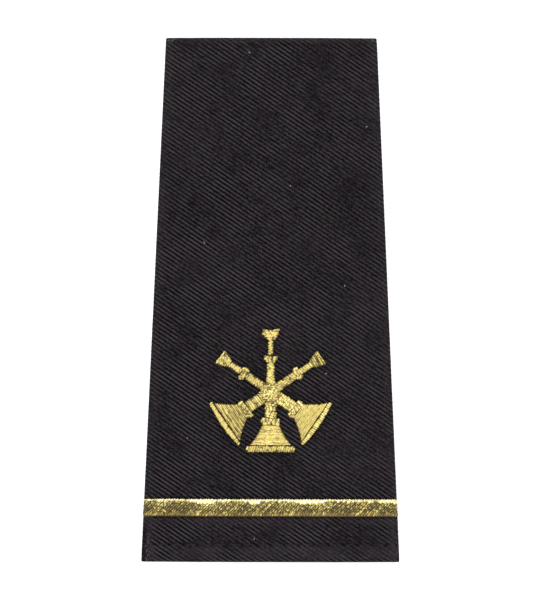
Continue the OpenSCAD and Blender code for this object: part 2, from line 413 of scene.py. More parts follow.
class TwillSkin:
    """Points in rows that run along the ribs, so that a few rows draw each rib.

    columns are numbers across the cloth. Each lies at fixed + sliding * along from the middle,
    and low and high say where it begins and ends along the cloth."""

    def __init__(self, columns, fixed, sliding, low, high, pitch, slope):
        self.pitch, self.slope = pitch, slope
        tilt, level = math.sin(slope), math.cos(slope)
        ends = [(tilt * (fixed + sliding * v) + level * v) / pitch for v in (low, high)]
        turns = np.arange(math.floor(np.min(ends)) - 1, math.ceil(np.max(ends)) + 2)
        phases = (turns[:, None] + RIB_SAMPLES).ravel()
        along = (phases[:, None] * pitch - tilt * fixed) / (level + tilt * sliding)
        first = np.maximum((along <= low).sum(0) - 1, 0)
        last = np.minimum((along < high).sum(0), len(phases) - 1)
        along = np.clip(along, low, high)
        number = last - first + 1
        self.tops = np.cumsum(number) - 1
        self.bottoms = self.tops - number + 1
        self.along = np.concatenate([along[a:b + 1, c] for c, (a, b) in enumerate(zip(first, last))])
        self.column_of = np.repeat(np.arange(len(columns)), number)
        self.column = columns[self.column_of]
        self.across = fixed[self.column_of] + sliding[self.column_of] * self.along
        self.faces = self.joined(first, last)

    def joined(self, first, last):
        """Faces between neighbouring columns, which may begin and end in different rows."""
        def at(c, rows):
            return (self.bottoms[c] + np.clip(rows, first[c], last[c]) - first[c]).tolist()

        faces = []
        for c in range(len(first) - 1):
            rows = np.arange(min(first[c], first[c + 1]), max(last[c], last[c + 1]))
            quads = zip(at(c, rows), at(c + 1, rows), at(c + 1, rows + 1), at(c, rows + 1))
            faces += [tuple(dict.fromkeys(quad)) for quad in quads]
        return [face for face in faces if len(face) > 2]

    def phase(self):
        """How many ribs each point lies from the middle."""
        return (math.sin(self.slope) * self.across + math.cos(self.slope) * self.along) / self.pitch


def woven(across, along):
    """Places along the cloth, as its material reads them."""
    return np.stack([across, along, 0 * along], -1).reshape(-1, 3)


def sewn_cloth(name, material, skin, outer, shaded, hidden, rubbed=0.0):
    """A closed piece of cloth: the ribbed skin, a plain hidden side, and walls between them.

    outer is the skin's points, shaded how much painted crease shade each gets, the last argument how
    much paler and duller its ribs are painted (painted light along the folded edges), and hidden a grid
    (rows, columns, 3) with the skin's columns."""
    parts = MeshParts()
    parts.add(outer, skin.faces, weave=woven(skin.across, skin.along),
              creased=np.clip(shaded, 0, 1), rubbed=np.broadcast_to(rubbed, shaded.shape))
    rows, columns = hidden.shape[:2]
    low, high = skin.along[skin.bottoms], skin.along[skin.tops]
    along = low + (high - low) * np.linspace(0, 1, rows)[:, None]
    across = np.broadcast_to(skin.across[skin.bottoms], along.shape)
    start = parts.add(hidden, grid_faces(rows, columns), weave=woven(across, along), creased=0.0,
                      rubbed=0.0)
    walls = []
    for row, ends in ((0, skin.bottoms), (rows - 1, skin.tops)):
        for c in range(columns - 1):
            behind = start + row * columns + c
            walls.append((ends[c], ends[c + 1], behind + 1, behind))
    for c in (0, columns - 1):
        points = np.arange(skin.bottoms[c], skin.tops[c] + 1)
        places = (skin.along[points] - low[c]) / (high[c] - low[c])
        plain = [(row / (rows - 1), start + row * columns + c) for row in range(rows)]
        walls += zipped(list(zip(places, points)), plain)
    parts.faces += [tuple(int(i) for i in wall) for wall in walls]
    return parts.make(name, material)


# Cloth pieces

# The base hem's row of stitches: its height over the base edge, its stitches and their gaps.
HEM_ROW_UP = 3.65 * MM
HEM_ROW = -HALF_LENGTH + HEM_ROW_UP
HEM_STITCH, HEM_STITCH_GAP = 2.55 * MM, 0.5 * MM
HEM_STEP = HEM_STITCH + HEM_STITCH_GAP

# Room that a hem leaves to the front's ply: at the rolled edge and behind it.
HEM_GAP, HEM_SLACK = 0.05 * MM, 0.08 * MM

# How far the back's ends turn in over its face.
BACK_LAP = 6.0 * MM

# Lines pressed into the front: each one's place along the cloth, its width and its depth.
PRESSED_LINES = {
    "hem_row": (HEM_ROW, 0.18 * MM, 0.03 * MM),
    "bulge_below_row": (-HALF_LENGTH + 1.9 * MM, 1.0 * MM, -0.06 * MM),
    "collar_edge": (HALF_LENGTH - 1.45 * MM, 0.35 * MM, 0.04 * MM),
    "above_stripe": (STRIPE_HIGH + 0.15 * MM, 0.35 * MM, 0.10 * MM),
    "below_stripe": (STRIPE_LOW - 0.10 * MM, 0.25 * MM, 0.06 * MM),
}
NEEDLE_HOLE_DEPTH = 0.36 * MM
SEAM_DEPTH, SEAM_WIDTH = 0.30 * MM, 0.75 * MM

# Cloth that is pressed in this far gets the darkest painted crease shade.
DARK_DEPTH = 0.2 * MM


def front_columns():
    """Columns across the front, crowding where it turns."""
    crown = np.linspace(-CROWN, CROWN, CROWN_COLUMNS)
    fold = CROWN + (SIDE - CROWN) * np.arange(1, FOLD_COLUMNS + 1) / FOLD_COLUMNS
    return np.concatenate([-fold[::-1], crown, fold])


def hem_stitch_starts(sleeve):
    """Where the stitches of the hem's row begin, across the front."""
    reach = sleeve.flat_half(HEM_ROW) + 0.6 * MM
    count = int(2 * reach / HEM_STEP)
    return -count * HEM_STEP / 2 + HEM_STEP * np.arange(count) + HEM_STITCH_GAP / 2


def front_presses(sleeve, across, along):
    """How far the front's face is pressed in by its seams."""
    pressed = sum(depth * bell_curve(along - place, width)
                  for place, width, depth in PRESSED_LINES.values())
    first_hole = hem_stitch_starts(sleeve)[0] - HEM_STITCH_GAP / 2
    hole = (across - first_hole + HEM_STEP / 2) % HEM_STEP - HEM_STEP / 2
    holes = bell_curve(hole, 0.40 * MM) * bell_curve(along - HEM_ROW, 0.22 * MM)
    half = sleeve.flat_half(along)
    face = near(np.abs(across), half, 1.2 * MM)
    seam = bell_curve(np.abs(across) - half - math.pi * sleeve.sizes.fold_radius, SEAM_WIDTH)
    return face * (pressed + NEEDLE_HOLE_DEPTH * holes) + SEAM_DEPTH * seam


def side_distance(sleeve, across, along):
    """Distance in from the side edges as they show from above, or a little more."""
    return sleeve.flat_half(along) + 1.2 * MM - np.abs(across)


def below_stripe(along):
    """1 on the lowest 7 mm, falling to 0 over the next 2 mm."""
    return near(along + HALF_LENGTH, 9 * MM, 2 * MM)


def front_shaded(sleeve, across, along):
    """Painted shade in the fold at the front's base's left corner: how dark the front is painted there.
    """
    wide = (0.55 + 0.55 * near(along + HALF_LENGTH, 4.5 * MM)) * MM
    fold = np.clip(1.2 - side_distance(sleeve, across, along) / wide, 0, 1)
    return 0.75 * below_stripe(along) * (across < 0) * fold


def front_lit_and_faded(sleeve, across, along):
    """Where the front's ribs are painted paler and duller: under the base hem's row and beside the
    stripe, and as painted light along the collar's rolled edge and the folded sides."""
    to_base, to_collar = along + HALF_LENGTH, HALF_LENGTH - along
    inwards = side_distance(sleeve, across, along)
    hem = 0.70 * near(to_base, 4.0 * MM, 1.2 * MM) * (1 - 1.1 * bell_curve(to_base, 0.8 * MM))
    stripe_foot = 0.65 * bell_curve(along - STRIPE_LOW + 0.6 * MM, 1.1 * MM)
    patches = 1 + 0.5 * ripples(across, along, 8 * MM, seed=61)
    # Painted light: the collar's rolled edge and the side folds, with a strip inside the sides low
    # down, are painted paler as lit edges.
    collar_roll = 0.9 * bell_curve(to_collar, 0.9 * MM)
    side_folds = 0.35 * bell_curve(inwards - 0.4 * MM, 1.0 * MM)
    low_folds = bell_curve(inwards - np.where(across < 0, 1.3, 0.9) * MM, 0.9 * MM)
    return np.clip((hem + stripe_foot) * patches + collar_roll + side_folds
                   + 0.65 * below_stripe(along) * low_folds, 0, 1)


def ribbed(place, skin, depth, pressed, seed, flat=1.0, outwards=1):
    """The skin's points, sunk between the ribs and where the cloth is pressed.

    flat is 1 on flat cloth, and less where a fold stretches the ribs out. outwards is -1 where
    the skin looks down."""
    worn = 0.86 + 0.16 * ripples(skin.across, skin.along, 11 * MM, seed) + (
        0.08 * ripples(skin.across, skin.along, 3.5 * MM, seed + 1))
    sunk = flat * depth * np.clip(worn, 0.45, 1.25) * (1 - rib_profile(skin.phase()))
    normals = outwards * skin_normals(place, skin.column, skin.along)
    return place(skin.column, skin.along) - normals * (sunk + pressed)[:, None]


def make_front_cloth(sleeve, finish, material):
    """The front, ribbed outside and plain inside, from one side seam to the other."""
    columns = front_columns()
    tip = sleeve.tip(columns)
    skin = TwillSkin(columns, *sleeve.rib_columns(columns), -tip, tip, finish.rib_pitch,
                     finish.rib_angle)
    pressed = front_presses(sleeve, skin.across, skin.along)
    flat = 1 - RIB_STRETCH * np.sin(sleeve.turn_of(skin.column))
    outer = ribbed(sleeve.front_place, skin, finish.rib_depth, pressed, 21, flat)
    y = np.linspace(-HALF_LENGTH, HALF_LENGTH, FRONT_ROWS)[:, None]
    hidden = sleeve.point(sleeve.across(columns, y), y, sleeve.sizes.cloth_wall)
    # Painted shade: darker where the seams press the front in, and in the fold at the base's left
    # corner.
    shaded = np.clip(pressed / DARK_DEPTH, 0, 1) + front_shaded(sleeve, skin.across, skin.along)
    piece = sewn_cloth("front_cloth", material, skin, outer, shaded, hidden,
                       front_lit_and_faded(sleeve, skin.across, skin.along))
    return dressed(piece, "black_twill", "front_panel")


def declare_front(sleeve):
    """The front and its hems are one cut of cloth, wider at the base, folded into a sleeve. This works
    out the cut's width and length and keeps neither.
    """
    wide = (sleeve.flat_half(0.0) + math.pi * sleeve.sizes.fold_radius) * 2
    long = 2 * HALF_LENGTH + 2 * sleeve.sizes.cloth_wall * (math.pi / 2 - 1)
    wide + 2 * sleeve.taper * HALF_LENGTH
    wide * long


def make_hem_cloth(sleeve, finish, material, name, node, end, deep):
    """A hem that goes on from the rolled edge's tip at one mouth, behind the front's ply."""
    ply = sleeve.sizes.cloth_wall
    start_depth = ply + HEM_GAP
    radius = 2 * ply + HEM_SLACK - start_depth
    columns = np.linspace(-HEM_COLUMN, HEM_COLUMN, HEM_COLUMNS)
    tip = sleeve.tip(columns)
    far = tip + radius * math.pi / 2 + deep - radius

    def place(column, along):
        onward = np.abs(along) - sleeve.tip(column)
        turn = np.clip(onward / radius, 0, math.pi / 2)
        straight = np.maximum(0, onward - radius * math.pi / 2)
        y = end * (HALF_LENGTH - radius + radius * np.cos(turn) - straight)
        return sleeve.point(sleeve.across(column, y), y, start_depth + radius * np.sin(turn))

    low, high = (tip, far) if end > 0 else (-far, -tip)
    skin = TwillSkin(columns, *sleeve.rib_columns(columns), low, high, finish.rib_pitch,
                     finish.rib_angle)
    inside = np.abs(skin.along) - tip[skin.column_of] - radius * math.pi / 2 + radius
    row_depth = 0.15 * MM if end < 0 else 0.0
    pressed = row_depth * bell_curve(inside - HEM_ROW_UP, 0.4 * MM)
    outer = ribbed(place, skin, finish.rib_depth, pressed, 31)
    # The hidden side's rows, from the mouth inwards, and the room that each leaves to the front.
    y = end * (HALF_LENGTH - np.array([0.0, 0.25 * MM, 0.9 * MM, deep / 2, deep]))
    gaps = np.array([HEM_GAP + 0.01 * MM, 0.8 * HEM_SLACK, HEM_SLACK, HEM_SLACK, HEM_SLACK])
    y, depth = y[::end, None], (ply + gaps)[::end, None]
    hidden = sleeve.point(sleeve.across(columns, y), y, depth)
    # Painted shade where the hem's row presses the cloth in.
    piece = sewn_cloth(name, material, skin, outer, pressed / DARK_DEPTH, hidden)
    return dressed(piece, "black_twill", node)


def make_back_cloth(sleeve, finish, material):
    """The plain back: its face looks down, and its ends turn in at both mouths."""
    wall = sleeve.sizes.cloth_wall
    radius = wall / 2
    straight = HALF_LENGTH - radius
    reach = straight + math.pi * radius + BACK_LAP
    half = sleeve.middle - sleeve.sizes.seam_clearance
    columns = np.linspace(-1, 1, BACK_COLUMNS)
    columns = np.sin(CROWDING * columns) / math.sin(CROWDING)

    def x_of(column, y):
        return column * (sleeve.flat_half(y) - sleeve.sizes.seam_clearance)

    def place(column, along):
        onward = np.maximum(0, np.abs(along) - straight)
        turn = np.clip(onward / radius, 0, math.pi)
        back_in = np.maximum(0, onward - math.pi * radius)
        y = np.where(onward > 0, np.sign(along) * (straight + radius * np.sin(turn) - back_in), along)
        return np.stack([x_of(column, y), y, radius * (1 - np.cos(turn))], -1)

    ends = np.full(len(columns), reach)
    skin = TwillSkin(columns, columns * half, -columns * sleeve.taper, -ends, ends,
                     finish.back_rib_pitch, -finish.rib_angle)
    to_side = (1 - np.abs(skin.column)) * half
    pressed = SEAM_DEPTH * bell_curve(to_side, SEAM_WIDTH) * (np.abs(skin.along) < reach - BACK_LAP)
    outer = ribbed(place, skin, finish.back_rib_depth, pressed, 41, outwards=-1)
    y = np.linspace(BACK_LAP - straight, straight - BACK_LAP, BACK_ROWS)[:, None]
    x = x_of(columns, y)
    hidden = np.stack(np.broadcast_arrays(x, y, wall), -1)
    # Painted shade along the seams' pressed lines.
    piece = sewn_cloth("back_cloth", material, skin, outer, pressed / DARK_DEPTH, hidden)
    2 * half + 2 * sleeve.taper * HALF_LENGTH
    2 * HALF_LENGTH
    2 * half * 2 * HALF_LENGTH
    return dressed(piece, "back_cloth", "back_panel")


# Threads

# Points round a thread, and the fewest along one that is worth laying.
RING, FEWEST_POINTS = 10, 5

TO_COLLAR, TO_BASE = np.array([0.0, 1.0, 0.0]), np.array([0.0, -1.0, 0.0])


def right_of(path):
    """Level unit vector to the right of the way from a path's first point to its last."""
    x, y = (path[-1] - path[0])[:2]
    return np.array([y, -x, 0.0]) / math.hypot(x, y)


def tube_faces(count):
    """Faces of a closed tube with count rings of points."""
    ring = np.arange(RING)
    first = np.arange(count - 1)[:, None] * RING + ring
    after = first - ring + (ring + 1) % RING
    sides = np.stack([first, after, after + RING, first + RING], -1).reshape(-1, 4)
    return [*sides.tolist(), list(range(RING)), list(range((count - 1) * RING, count * RING))]


def lay_thread(parts, path, aside, wide, high, twist, tone, start=0.0, lobes=0.20, worn=0.8,
               warm=0.0, flank_shade=0.0):
    """Adds one thread of two plies that lies along path (k, 3), flattened to wide and high.

    aside is its sideways direction, twist the length of one turn, start where in a turn it
    begins, and lobes how far its plies stand out. wide and high are half its width and height.
    tone, worn and the orange reflection after worn are what its material reads: worn sets how
    strongly painted glints and random mottling show, and the orange reflection is painted reflected
    light. The last argument is painted shade: how much lower the tone is on the thread's sides. wide,
    tone, worn, the orange reflection and the side shade may change from point to point."""
    path = np.asarray(path, float)
    up = np.cross(aside, np.gradient(path, axis=0))
    up /= np.linalg.norm(up, axis=1, keepdims=True)
    up[up[:, 2] < 0] *= -1
    run = run_along(path)
    turn = 2 * math.pi * np.arange(RING) / RING
    plies = 2 * (turn - 2 * math.pi * run[:, None] / twist - start)
    ends = np.sqrt(np.clip(to_end(run) / (1.2 * wide), 0.06, 1))[:, None]
    size = ends * (1 + lobes * np.cos(plies)) / (1 + lobes)
    wide = np.broadcast_to(wide, run.shape)
    points = (path[:, None, :] + aside * (wide[:, None] * size * np.cos(turn))[..., None]
              + up[:, None, :] * (high * size * np.sin(turn))[..., None])

    def spread(note):
        return np.broadcast_to(np.reshape(note, (-1, 1)), size.shape)

    # Painted shade: the tone is lower in the furrows between the plies and on the thread's sides.
    ply_and_flank_shade = 0.9 * lobes * (np.cos(plies) - 0.5) + spread(flank_shade) * (np.sin(turn) - 1)
    strand = np.stack(np.broadcast_arrays(plies, run[:, None], start), -1)
    parts.add(points, tube_faces(len(path)), tone=(spread(tone) + ply_and_flank_shade).ravel(),
              strand=strand.reshape(-1, 3), worn=spread(worn).ravel(), warm=spread(warm).ravel())


def add_cushion(parts, upper, lower):
    """Adds the closed padding between two grids of points (rows, columns, 3)."""
    rows, columns = upper.shape[:2]
    points = np.concatenate([upper.reshape(-1, 3), lower.reshape(-1, 3)])
    under = rows * columns
    faces = [*grid_faces(rows, columns).tolist(), *grid_faces(rows, columns, under, True).tolist()]
    last = columns * (rows - 1)
    ring = [*range(columns - 1), *range(columns - 1, under - 1, columns),
            *range(under - 1, last, -1), *range(last, 0, -columns)]
    faces += [(a, b, b + under, a + under) for a, b in zip(ring, ring[1:] + ring[:1])]
    # Tone 0 paints the padding umber: painted shade seen between and under the threads.
    parts.add(points, faces, tone=0.0, strand=np.zeros((len(points), 3)), worn=0.3, warm=0.0)


def steps_for(distance, fine=0.10 * MM):
    """How many points a thread of some length needs."""
    return max(6, int(math.ceil(distance / fine)) + 1)


def needle_dips(random, run, stitch, width=0.15 * MM):
    """Where the needle takes a thread down, about once a stitch: 1 at each place, else 0."""
    count = int(run[-1] / (0.6 * stitch)) + 3
    places = np.cumsum(random.uniform(0.6, 1.4, count) * stitch) - random.uniform(0.6, 1.6) * stitch
    return bell_curve(run[:, None] - places[None, :], width).sum(1).clip(0, 1)


class ShortStitch:
    """The course of a short stitch that lies its own way, bowed to its left."""

    def __init__(self, x, y, way, half, count, bow=0.0):
        self.out = np.linspace(-1, 1, count)
        run, bowed = half * self.out, bow * self.out**2
        self.x = x + run * math.cos(way) - bowed * math.sin(way)
        self.y = y + run * math.sin(way) + bowed * math.cos(way)
        self.aside = np.array([math.sin(way), -math.cos(way), 0.0])

    def arch(self, high):
        """Heights over its ends."""
        return high * np.cos(self.out * math.pi / 2)


# The stripe

LOOSE_STITCHES = 120

# How far the threads' lower and upper ends lie from the stripe's edges, how far they bend from
# side to side, dive into the cloth at both ends and dip where the needle takes them down.
THREAD_FOOT, THREAD_HEAD, THREAD_BEND = 0.26 * MM, 0.03 * MM, 0.07 * MM
THREAD_DIVE, THREAD_DIP = 0.26 * MM, 0.12 * MM


class StripeCrown:
    """The stripe's padded crown: where it ends and how far it stands off the cloth."""

    clearance, edge, relief = 0.08 * MM, 0.12 * MM, 0.70 * MM
    sunk_at_sides = 0.17 * MM

    def __init__(self, sleeve):
        self.sleeve = sleeve
        self.radius = sleeve.sizes.fold_radius
        self.low, self.high, self.width = STRIPE_LOW, STRIPE_HIGH, STRIPE_HIGH - STRIPE_LOW

    def reach(self, y):
        """Distance along the cloth from the middle to an end, well down the side fold."""
        return self.sleeve.flat_half(y) + self.radius * math.pi / 2 * 0.94

    def share(self, y):
        """0 at the lower edge and 1 at the upper one."""
        return np.clip((y - self.low) / self.width, 0, 1)

    def upright(self, across, y):
        """1 on the front, falling to 0 where the side fold stands upright."""
        turn = np.clip((np.abs(across) - self.sleeve.flat_half(y)) / self.radius, 0, math.pi / 2)
        return np.cos(turn)**2

    def proud(self, across, y):
        """How far the crown stands off the cloth."""
        bulge = (1 - np.abs(2 * self.share(y) - 1)**3.2)**0.6
        upright = self.upright(across, y)
        return (self.clearance + self.edge - self.sunk_at_sides * (1 - upright)
                + (self.relief - self.edge) * bulge * upright)

    def point(self, across, y, over):
        """A point some way over the cloth."""
        return self.sleeve.point(across, y, -over)


def pad_stripe(parts, crown, gold):
    """The padding under the stripe's threads, whose underside dips into the cloth at the sides."""
    y = (crown.low + crown.width * eased(15))[:, None]
    across = np.linspace(-1, 1, 121) * crown.reach(y)
    over = crown.proud(across, y) - 1.3 * gold.half_height
    under = 0.33 * MM * crown.upright(across, y) - 0.30 * MM
    add_cushion(parts, crown.point(across, y, over), crown.point(across, y, under))


def edge_stripe(parts, crown, gold):
    """The cord along the stripe's upper edge, painted pale as a highlight."""
    run = np.linspace(-1, 1, 481)
    y = crown.high - 0.15 * MM + 0.02 * MM * ripples(run, 0.0, 0.05, seed=52)
    across = run * (crown.reach(crown.high) - 0.1 * MM)
    over = crown.proud(across, y) - 1.3 * gold.half_height
    lay_thread(parts, crown.point(across, y, over), TO_COLLAR, 0.18 * MM, gold.half_height,
               gold.twist, tone=0.95, start=0.3, lobes=0.1, worn=0.4)


def lay_slanted_thread(parts, crown, gold, random, foot):
    """One thread of the stripe, from a foot at its lower edge up to its upper one, or as much of
    it as lies between the side folds."""
    foot += random.normal(0, 0.04 * MM)
    ragged = random.normal(0, 1, 2) * (0.03 * MM, 0.02 * MM)
    low_y, high_y = crown.low + THREAD_FOOT + ragged[0], crown.high + THREAD_HEAD + ragged[1]
    lean = crown.width * math.tan(gold.stripe_slant)
    slanted = math.hypot(crown.width, lean)
    up = np.linspace(0, 1, steps_for(slanted, 0.085 * MM))
    y = low_y + (high_y - low_y) * up
    bend = np.sin(2 * math.pi * (up * 0.8 + random.uniform(0, 1)))
    across = foot + lean * up + THREAD_BEND * bend
    inside = np.abs(across) < crown.reach(y)
    if inside.sum() < FEWEST_POINTS:
        return
    up, y, across = up[inside] - up[inside][0], y[inside], across[inside]
    share = crown.share(y)
    # upper marks the painted highlight along the stripe's upper edge, lower the painted orange
    # reflected light along its lower edge.
    bright_from = 0.865 - 0.13 * np.clip(ripples(across, 0.0, 12 * MM, seed=15), 0, 2)
    upper = np.clip((share - bright_from + random.normal(0, 0.03)) / 0.09, 0, 1)
    lower = near(share, random.uniform(0.19, 0.28), 0.06)
    dips = needle_dips(random, up * slanted, 0.95 * MM, 0.17 * MM) * (1 - lower)
    over = (crown.proud(across, y) - 0.8 * gold.half_height
            - THREAD_DIVE * near(to_end(up), 0.03)**1.5 - THREAD_DIP * dips)
    # Painted light: paler towards the upper edge and on its highlight, with painted shade in the
    # needle's dips.
    fade = np.clip((share - 0.35) / 0.5, 0, 1)
    tone = (0.41 + random.normal(0, 0.10) + 0.22 * fade + 0.50 * upper
            + 0.08 * ripples(across, y, 9 * MM, seed=33) - 0.40 * dips * (1 - 0.9 * upper))
    stout = gold.stripe_stout * random.uniform(0.9, 1.1) * (1 + 0.95 * upper + 0.5 * lower)
    lay_thread(parts, crown.point(across, y, over), right_of(crown.point(across, y, 0.0)), stout,
               gold.half_height, 3.0 * gold.stripe_pitch, tone, random.uniform(0, math.pi),
               lobes=0.10, worn=1.2 - 0.8 * upper - 0.6 * lower, warm=0.45 * lower,
               flank_shade=0.22 * np.clip(1 - upper - lower, 0, 1))


def lay_loose_stitch(parts, crown, random):
    """A short raised turn of thread somewhere on the stripe."""
    y = crown.low + crown.width * random.uniform(0.20, 0.86)
    half = random.uniform(0.22, 0.42) * MM
    across = random.uniform(-1, 1) * (crown.reach(y) - 1.2 * MM)
    stitch = ShortStitch(across, y, random.normal(0.75, 0.30), half, 11)
    over = crown.proud(stitch.x, stitch.y) + stitch.arch(0.08 * MM) - 0.08 * MM
    # Painted shade: the stitch darkens towards its ends, where it dives.
    tone = 0.56 + random.normal(0, 0.12) - 0.4 * np.abs(stitch.out)**3
    lay_thread(parts, crown.point(stitch.x, stitch.y, over), stitch.aside, 0.17 * MM, 0.09 * MM,
               1.0 * MM, tone, random.uniform(0, math.pi))


def make_stripe(sleeve, gold, material):
    """The stripe: slanted threads over a padded crown, from side fold to side fold."""
    random = np.random.default_rng(5)
    parts, crown = MeshParts(), StripeCrown(sleeve)
    pad_stripe(parts, crown, gold)
    edge_stripe(parts, crown, gold)
    reach, lean = crown.reach(crown.low), crown.width * math.tan(gold.stripe_slant)
    for foot in np.arange(-reach - lean, reach, gold.stripe_pitch):
        lay_slanted_thread(parts, crown, gold, random, foot)
    for _ in range(LOOSE_STITCHES):
        lay_loose_stitch(parts, crown, random)
    return dressed(parts.make("stripe_threads", material), "gold_stripe", "rank_stripe")


# Bugles

# Each field's ends as shares of the bugle's reach, its widths as shares of the rim's length, its
# flare, hollow and relief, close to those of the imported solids. A tube ends under the knot.
CENTRE_FIELDS = {
    "rim": (0.962, 0.848, 0.990, 0.985, 1.00, 0.00, 1.15),
    "bell": (0.848, 0.527, 0.865, 0.345, 0.74, 0.00, 1.00),
    "lower_collar": (0.527, 0.417, 0.385, 0.405, 1.00, 0.00, 1.25),
    "lower_tube": (0.417, None, 0.265, 0.255, 1.00, 0.00, 1.10),
    "upper_tube": (-0.477, None, 0.165, 0.205, 1.00, 0.00, 1.00),
    "upper_collar": (-0.573, -0.477, 0.295, 0.195, 1.80, 0.00, 1.10),
    "neck": (-0.833, -0.573, 0.115, 0.125, 1.00, 0.00, 0.85),
    "mouthpiece": (-1.012, -0.830, 0.335, 0.165, 3.60, 0.12, 1.00),
}
SIDE_FIELDS = {
    "rim": (0.933, 0.868, 1.020, 1.020, 1.00, -0.70, 1.05),
    "bell": (0.868, 0.546, 0.985, 0.340, 0.74, 0.00, 1.00),
    "lower_collar": (0.546, 0.450, 0.385, 0.405, 1.00, 0.00, 1.20),
    "lower_tube": (0.450, None, 0.255, 0.250, 1.00, 0.00, 1.05),
    "upper_tube": (-0.488, None, 0.185, 0.200, 1.00, 0.00, 0.95),
    "upper_collar": (-0.570, -0.488, 0.300, 0.250, 1.50, 0.00, 1.10),
    "neck": (-0.808, -0.570, 0.135, 0.145, 1.00, 0.00, 0.85),
    "mouthpiece": (-1.003, -0.808, 0.325, 0.165, 1.50, 0.00, 1.00),
}
FIELD_NAMES = tuple(CENTRE_FIELDS)

# Which way each bugle's bell points, in degrees, and its reach from the crossing.
BUGLES = {"centre": (-90.0, 13.2 * MM), "left": (-145.5, 12.9 * MM), "right": (-34.5, 12.9 * MM)}
ARM_ANGLE = math.radians(55.5)
RIM_LENGTH, SATIN_RELIEF, SATIN_EDGE, STITCH_GAP = 10.4 * MM, 0.9 * MM, 0.2 * MM, 0.08 * MM
CROSSING_Y = -HALF_LENGTH + 35.7 * MM
KNOT_WIDTH, KNOT_DROP, KNOT_RELIEF, KNOT_EDGE = 4.5 * MM, 0.5 * MM, 1.3 * MM, 0.34 * MM

# Distance between the bands over the knot, and the number of short stitches on them.
BAND_PITCH, SHORT_STITCHES = 0.42 * MM, 46

# Width of the groups of threads that differ in tone.
STROKE = 0.62 * MM

# Heights and depths of the bugles' threads: how low the padding begins, how deep a thread dives
# at its ends, dips where the needle takes it down and is drawn into a needle's hole, how far
# groups of threads lie lower than others, and the deepest that any may go.
CUSHION_FOOT, DIVE, DIP, PIT, STROKE_DROP, DEEPEST = (
    0.02 * MM, 0.34 * MM, 0.08 * MM, 0.12 * MM, 0.05 * MM, 0.25 * MM)


class Stitching(typing.NamedTuple):
    """How a field is stitched: which way its threads run and how they look.

    The threads run across their bugle or along it and lean by some degrees. Plain satin has no
    stitch length. Strokes is how far groups of threads stand out in tone, and pits how deep the
    needle's holes are drawn and how much painted shade they get. A stitch's length, the pitch, how
    ragged the ends are and how far they reach over the field's sides are in mm. Flank shade is the
    painted shade on a thread's sides, and hole the place of a needle's hole: shares of the field's
    length and of half its width."""

    lean: float = 0.0
    stitch: float = 0.0
    tone: float = 0.7
    pitch: float = 0.44
    worn: float = 0.6
    pits: float = 0.0
    flank_shade: float = 0.3
    reach: float = 0.02
    ragged: float = 0.05
    lobes: float = 0.08
    strokes: float = 0.0
    hole: tuple = ()
    way: str = "across"


STITCHING = {
    "rim": Stitching(16, 0, 0.76, 0.46, pits=0.12, flank_shade=0.36, reach=-0.03, way="along"),
    "bell": Stitching(0, 2.6, 0.68, 0.27, worn=0.62, pits=0.10, flank_shade=0.05, lobes=0.04),
    "lower_collar": Stitching(3, 0.7, 0.77, 0.47, pits=0.5, flank_shade=0.35),
    "lower_tube": Stitching(12, 0.8, 0.83, 0.50, pits=0.4, flank_shade=0.38, reach=-0.04),
    "upper_tube": Stitching(34, 0, 0.72, 0.56, pits=0.65, flank_shade=0.42, reach=-0.12),
    "upper_collar": Stitching(4, 0.8, 0.70, pits=0.45),
    "neck": Stitching(38, 0, 0.69, 0.60, pits=0.65, flank_shade=0.45, reach=-0.12),
    "mouthpiece": Stitching(6, 1.1, 0.68, worn=0.7, pits=0.4, flank_shade=0.25, hole=(0.22, 0.55)),
}
STITCHING_OF = {
    ("centre", "rim"): Stitching(-24, 0, 0.71, 0.50, worn=0.7, pits=0.4, flank_shade=0.45, reach=-0.05,
                                 ragged=0.10, way="along"),
    ("centre", "mouthpiece"): Stitching(0, 1.4, 0.73, pits=0.3, flank_shade=0.2, ragged=0.12,
                                        hole=(0.13, -0.25)),
    ("left", "bell"): Stitching(0, 0, 0.55, 0.34, worn=0.7, pits=0.1, flank_shade=0.18, lobes=0.04,
                                strokes=0.12),
    ("left", "lower_collar"): Stitching(-6, 0.9, 0.68, worn=0.7, pits=0.45),
    ("left", "lower_tube"): Stitching(-4, 0, 0.61, worn=0.7, pits=0.35, flank_shade=0.34, reach=-0.04,
                                      strokes=0.10),
    ("left", "upper_tube"): Stitching(-34, 0, 0.62, 0.54, pits=0.5, flank_shade=0.40, reach=-0.12),
    ("left", "neck"): Stitching(-24, 0, 0.70, 0.54, pits=0.5, flank_shade=0.36, reach=-0.10),
    ("left", "mouthpiece"): Stitching(0, 0, 0.53, 0.40, worn=0.7, pits=0.4, flank_shade=0.25,
                                      strokes=0.12, hole=(0.42, 0.25)),
    ("right", "lower_tube"): Stitching(14, 0.9, 0.85, 0.50, pits=0.35, flank_shade=0.30, reach=-0.02),
    ("right", "upper_tube"): Stitching(32, 0, 0.62, 0.56, pits=0.5, flank_shade=0.40, reach=-0.12),
    ("right", "neck"): Stitching(24, 0, 0.74, 0.56, pits=0.5, flank_shade=0.36, reach=-0.10),
}


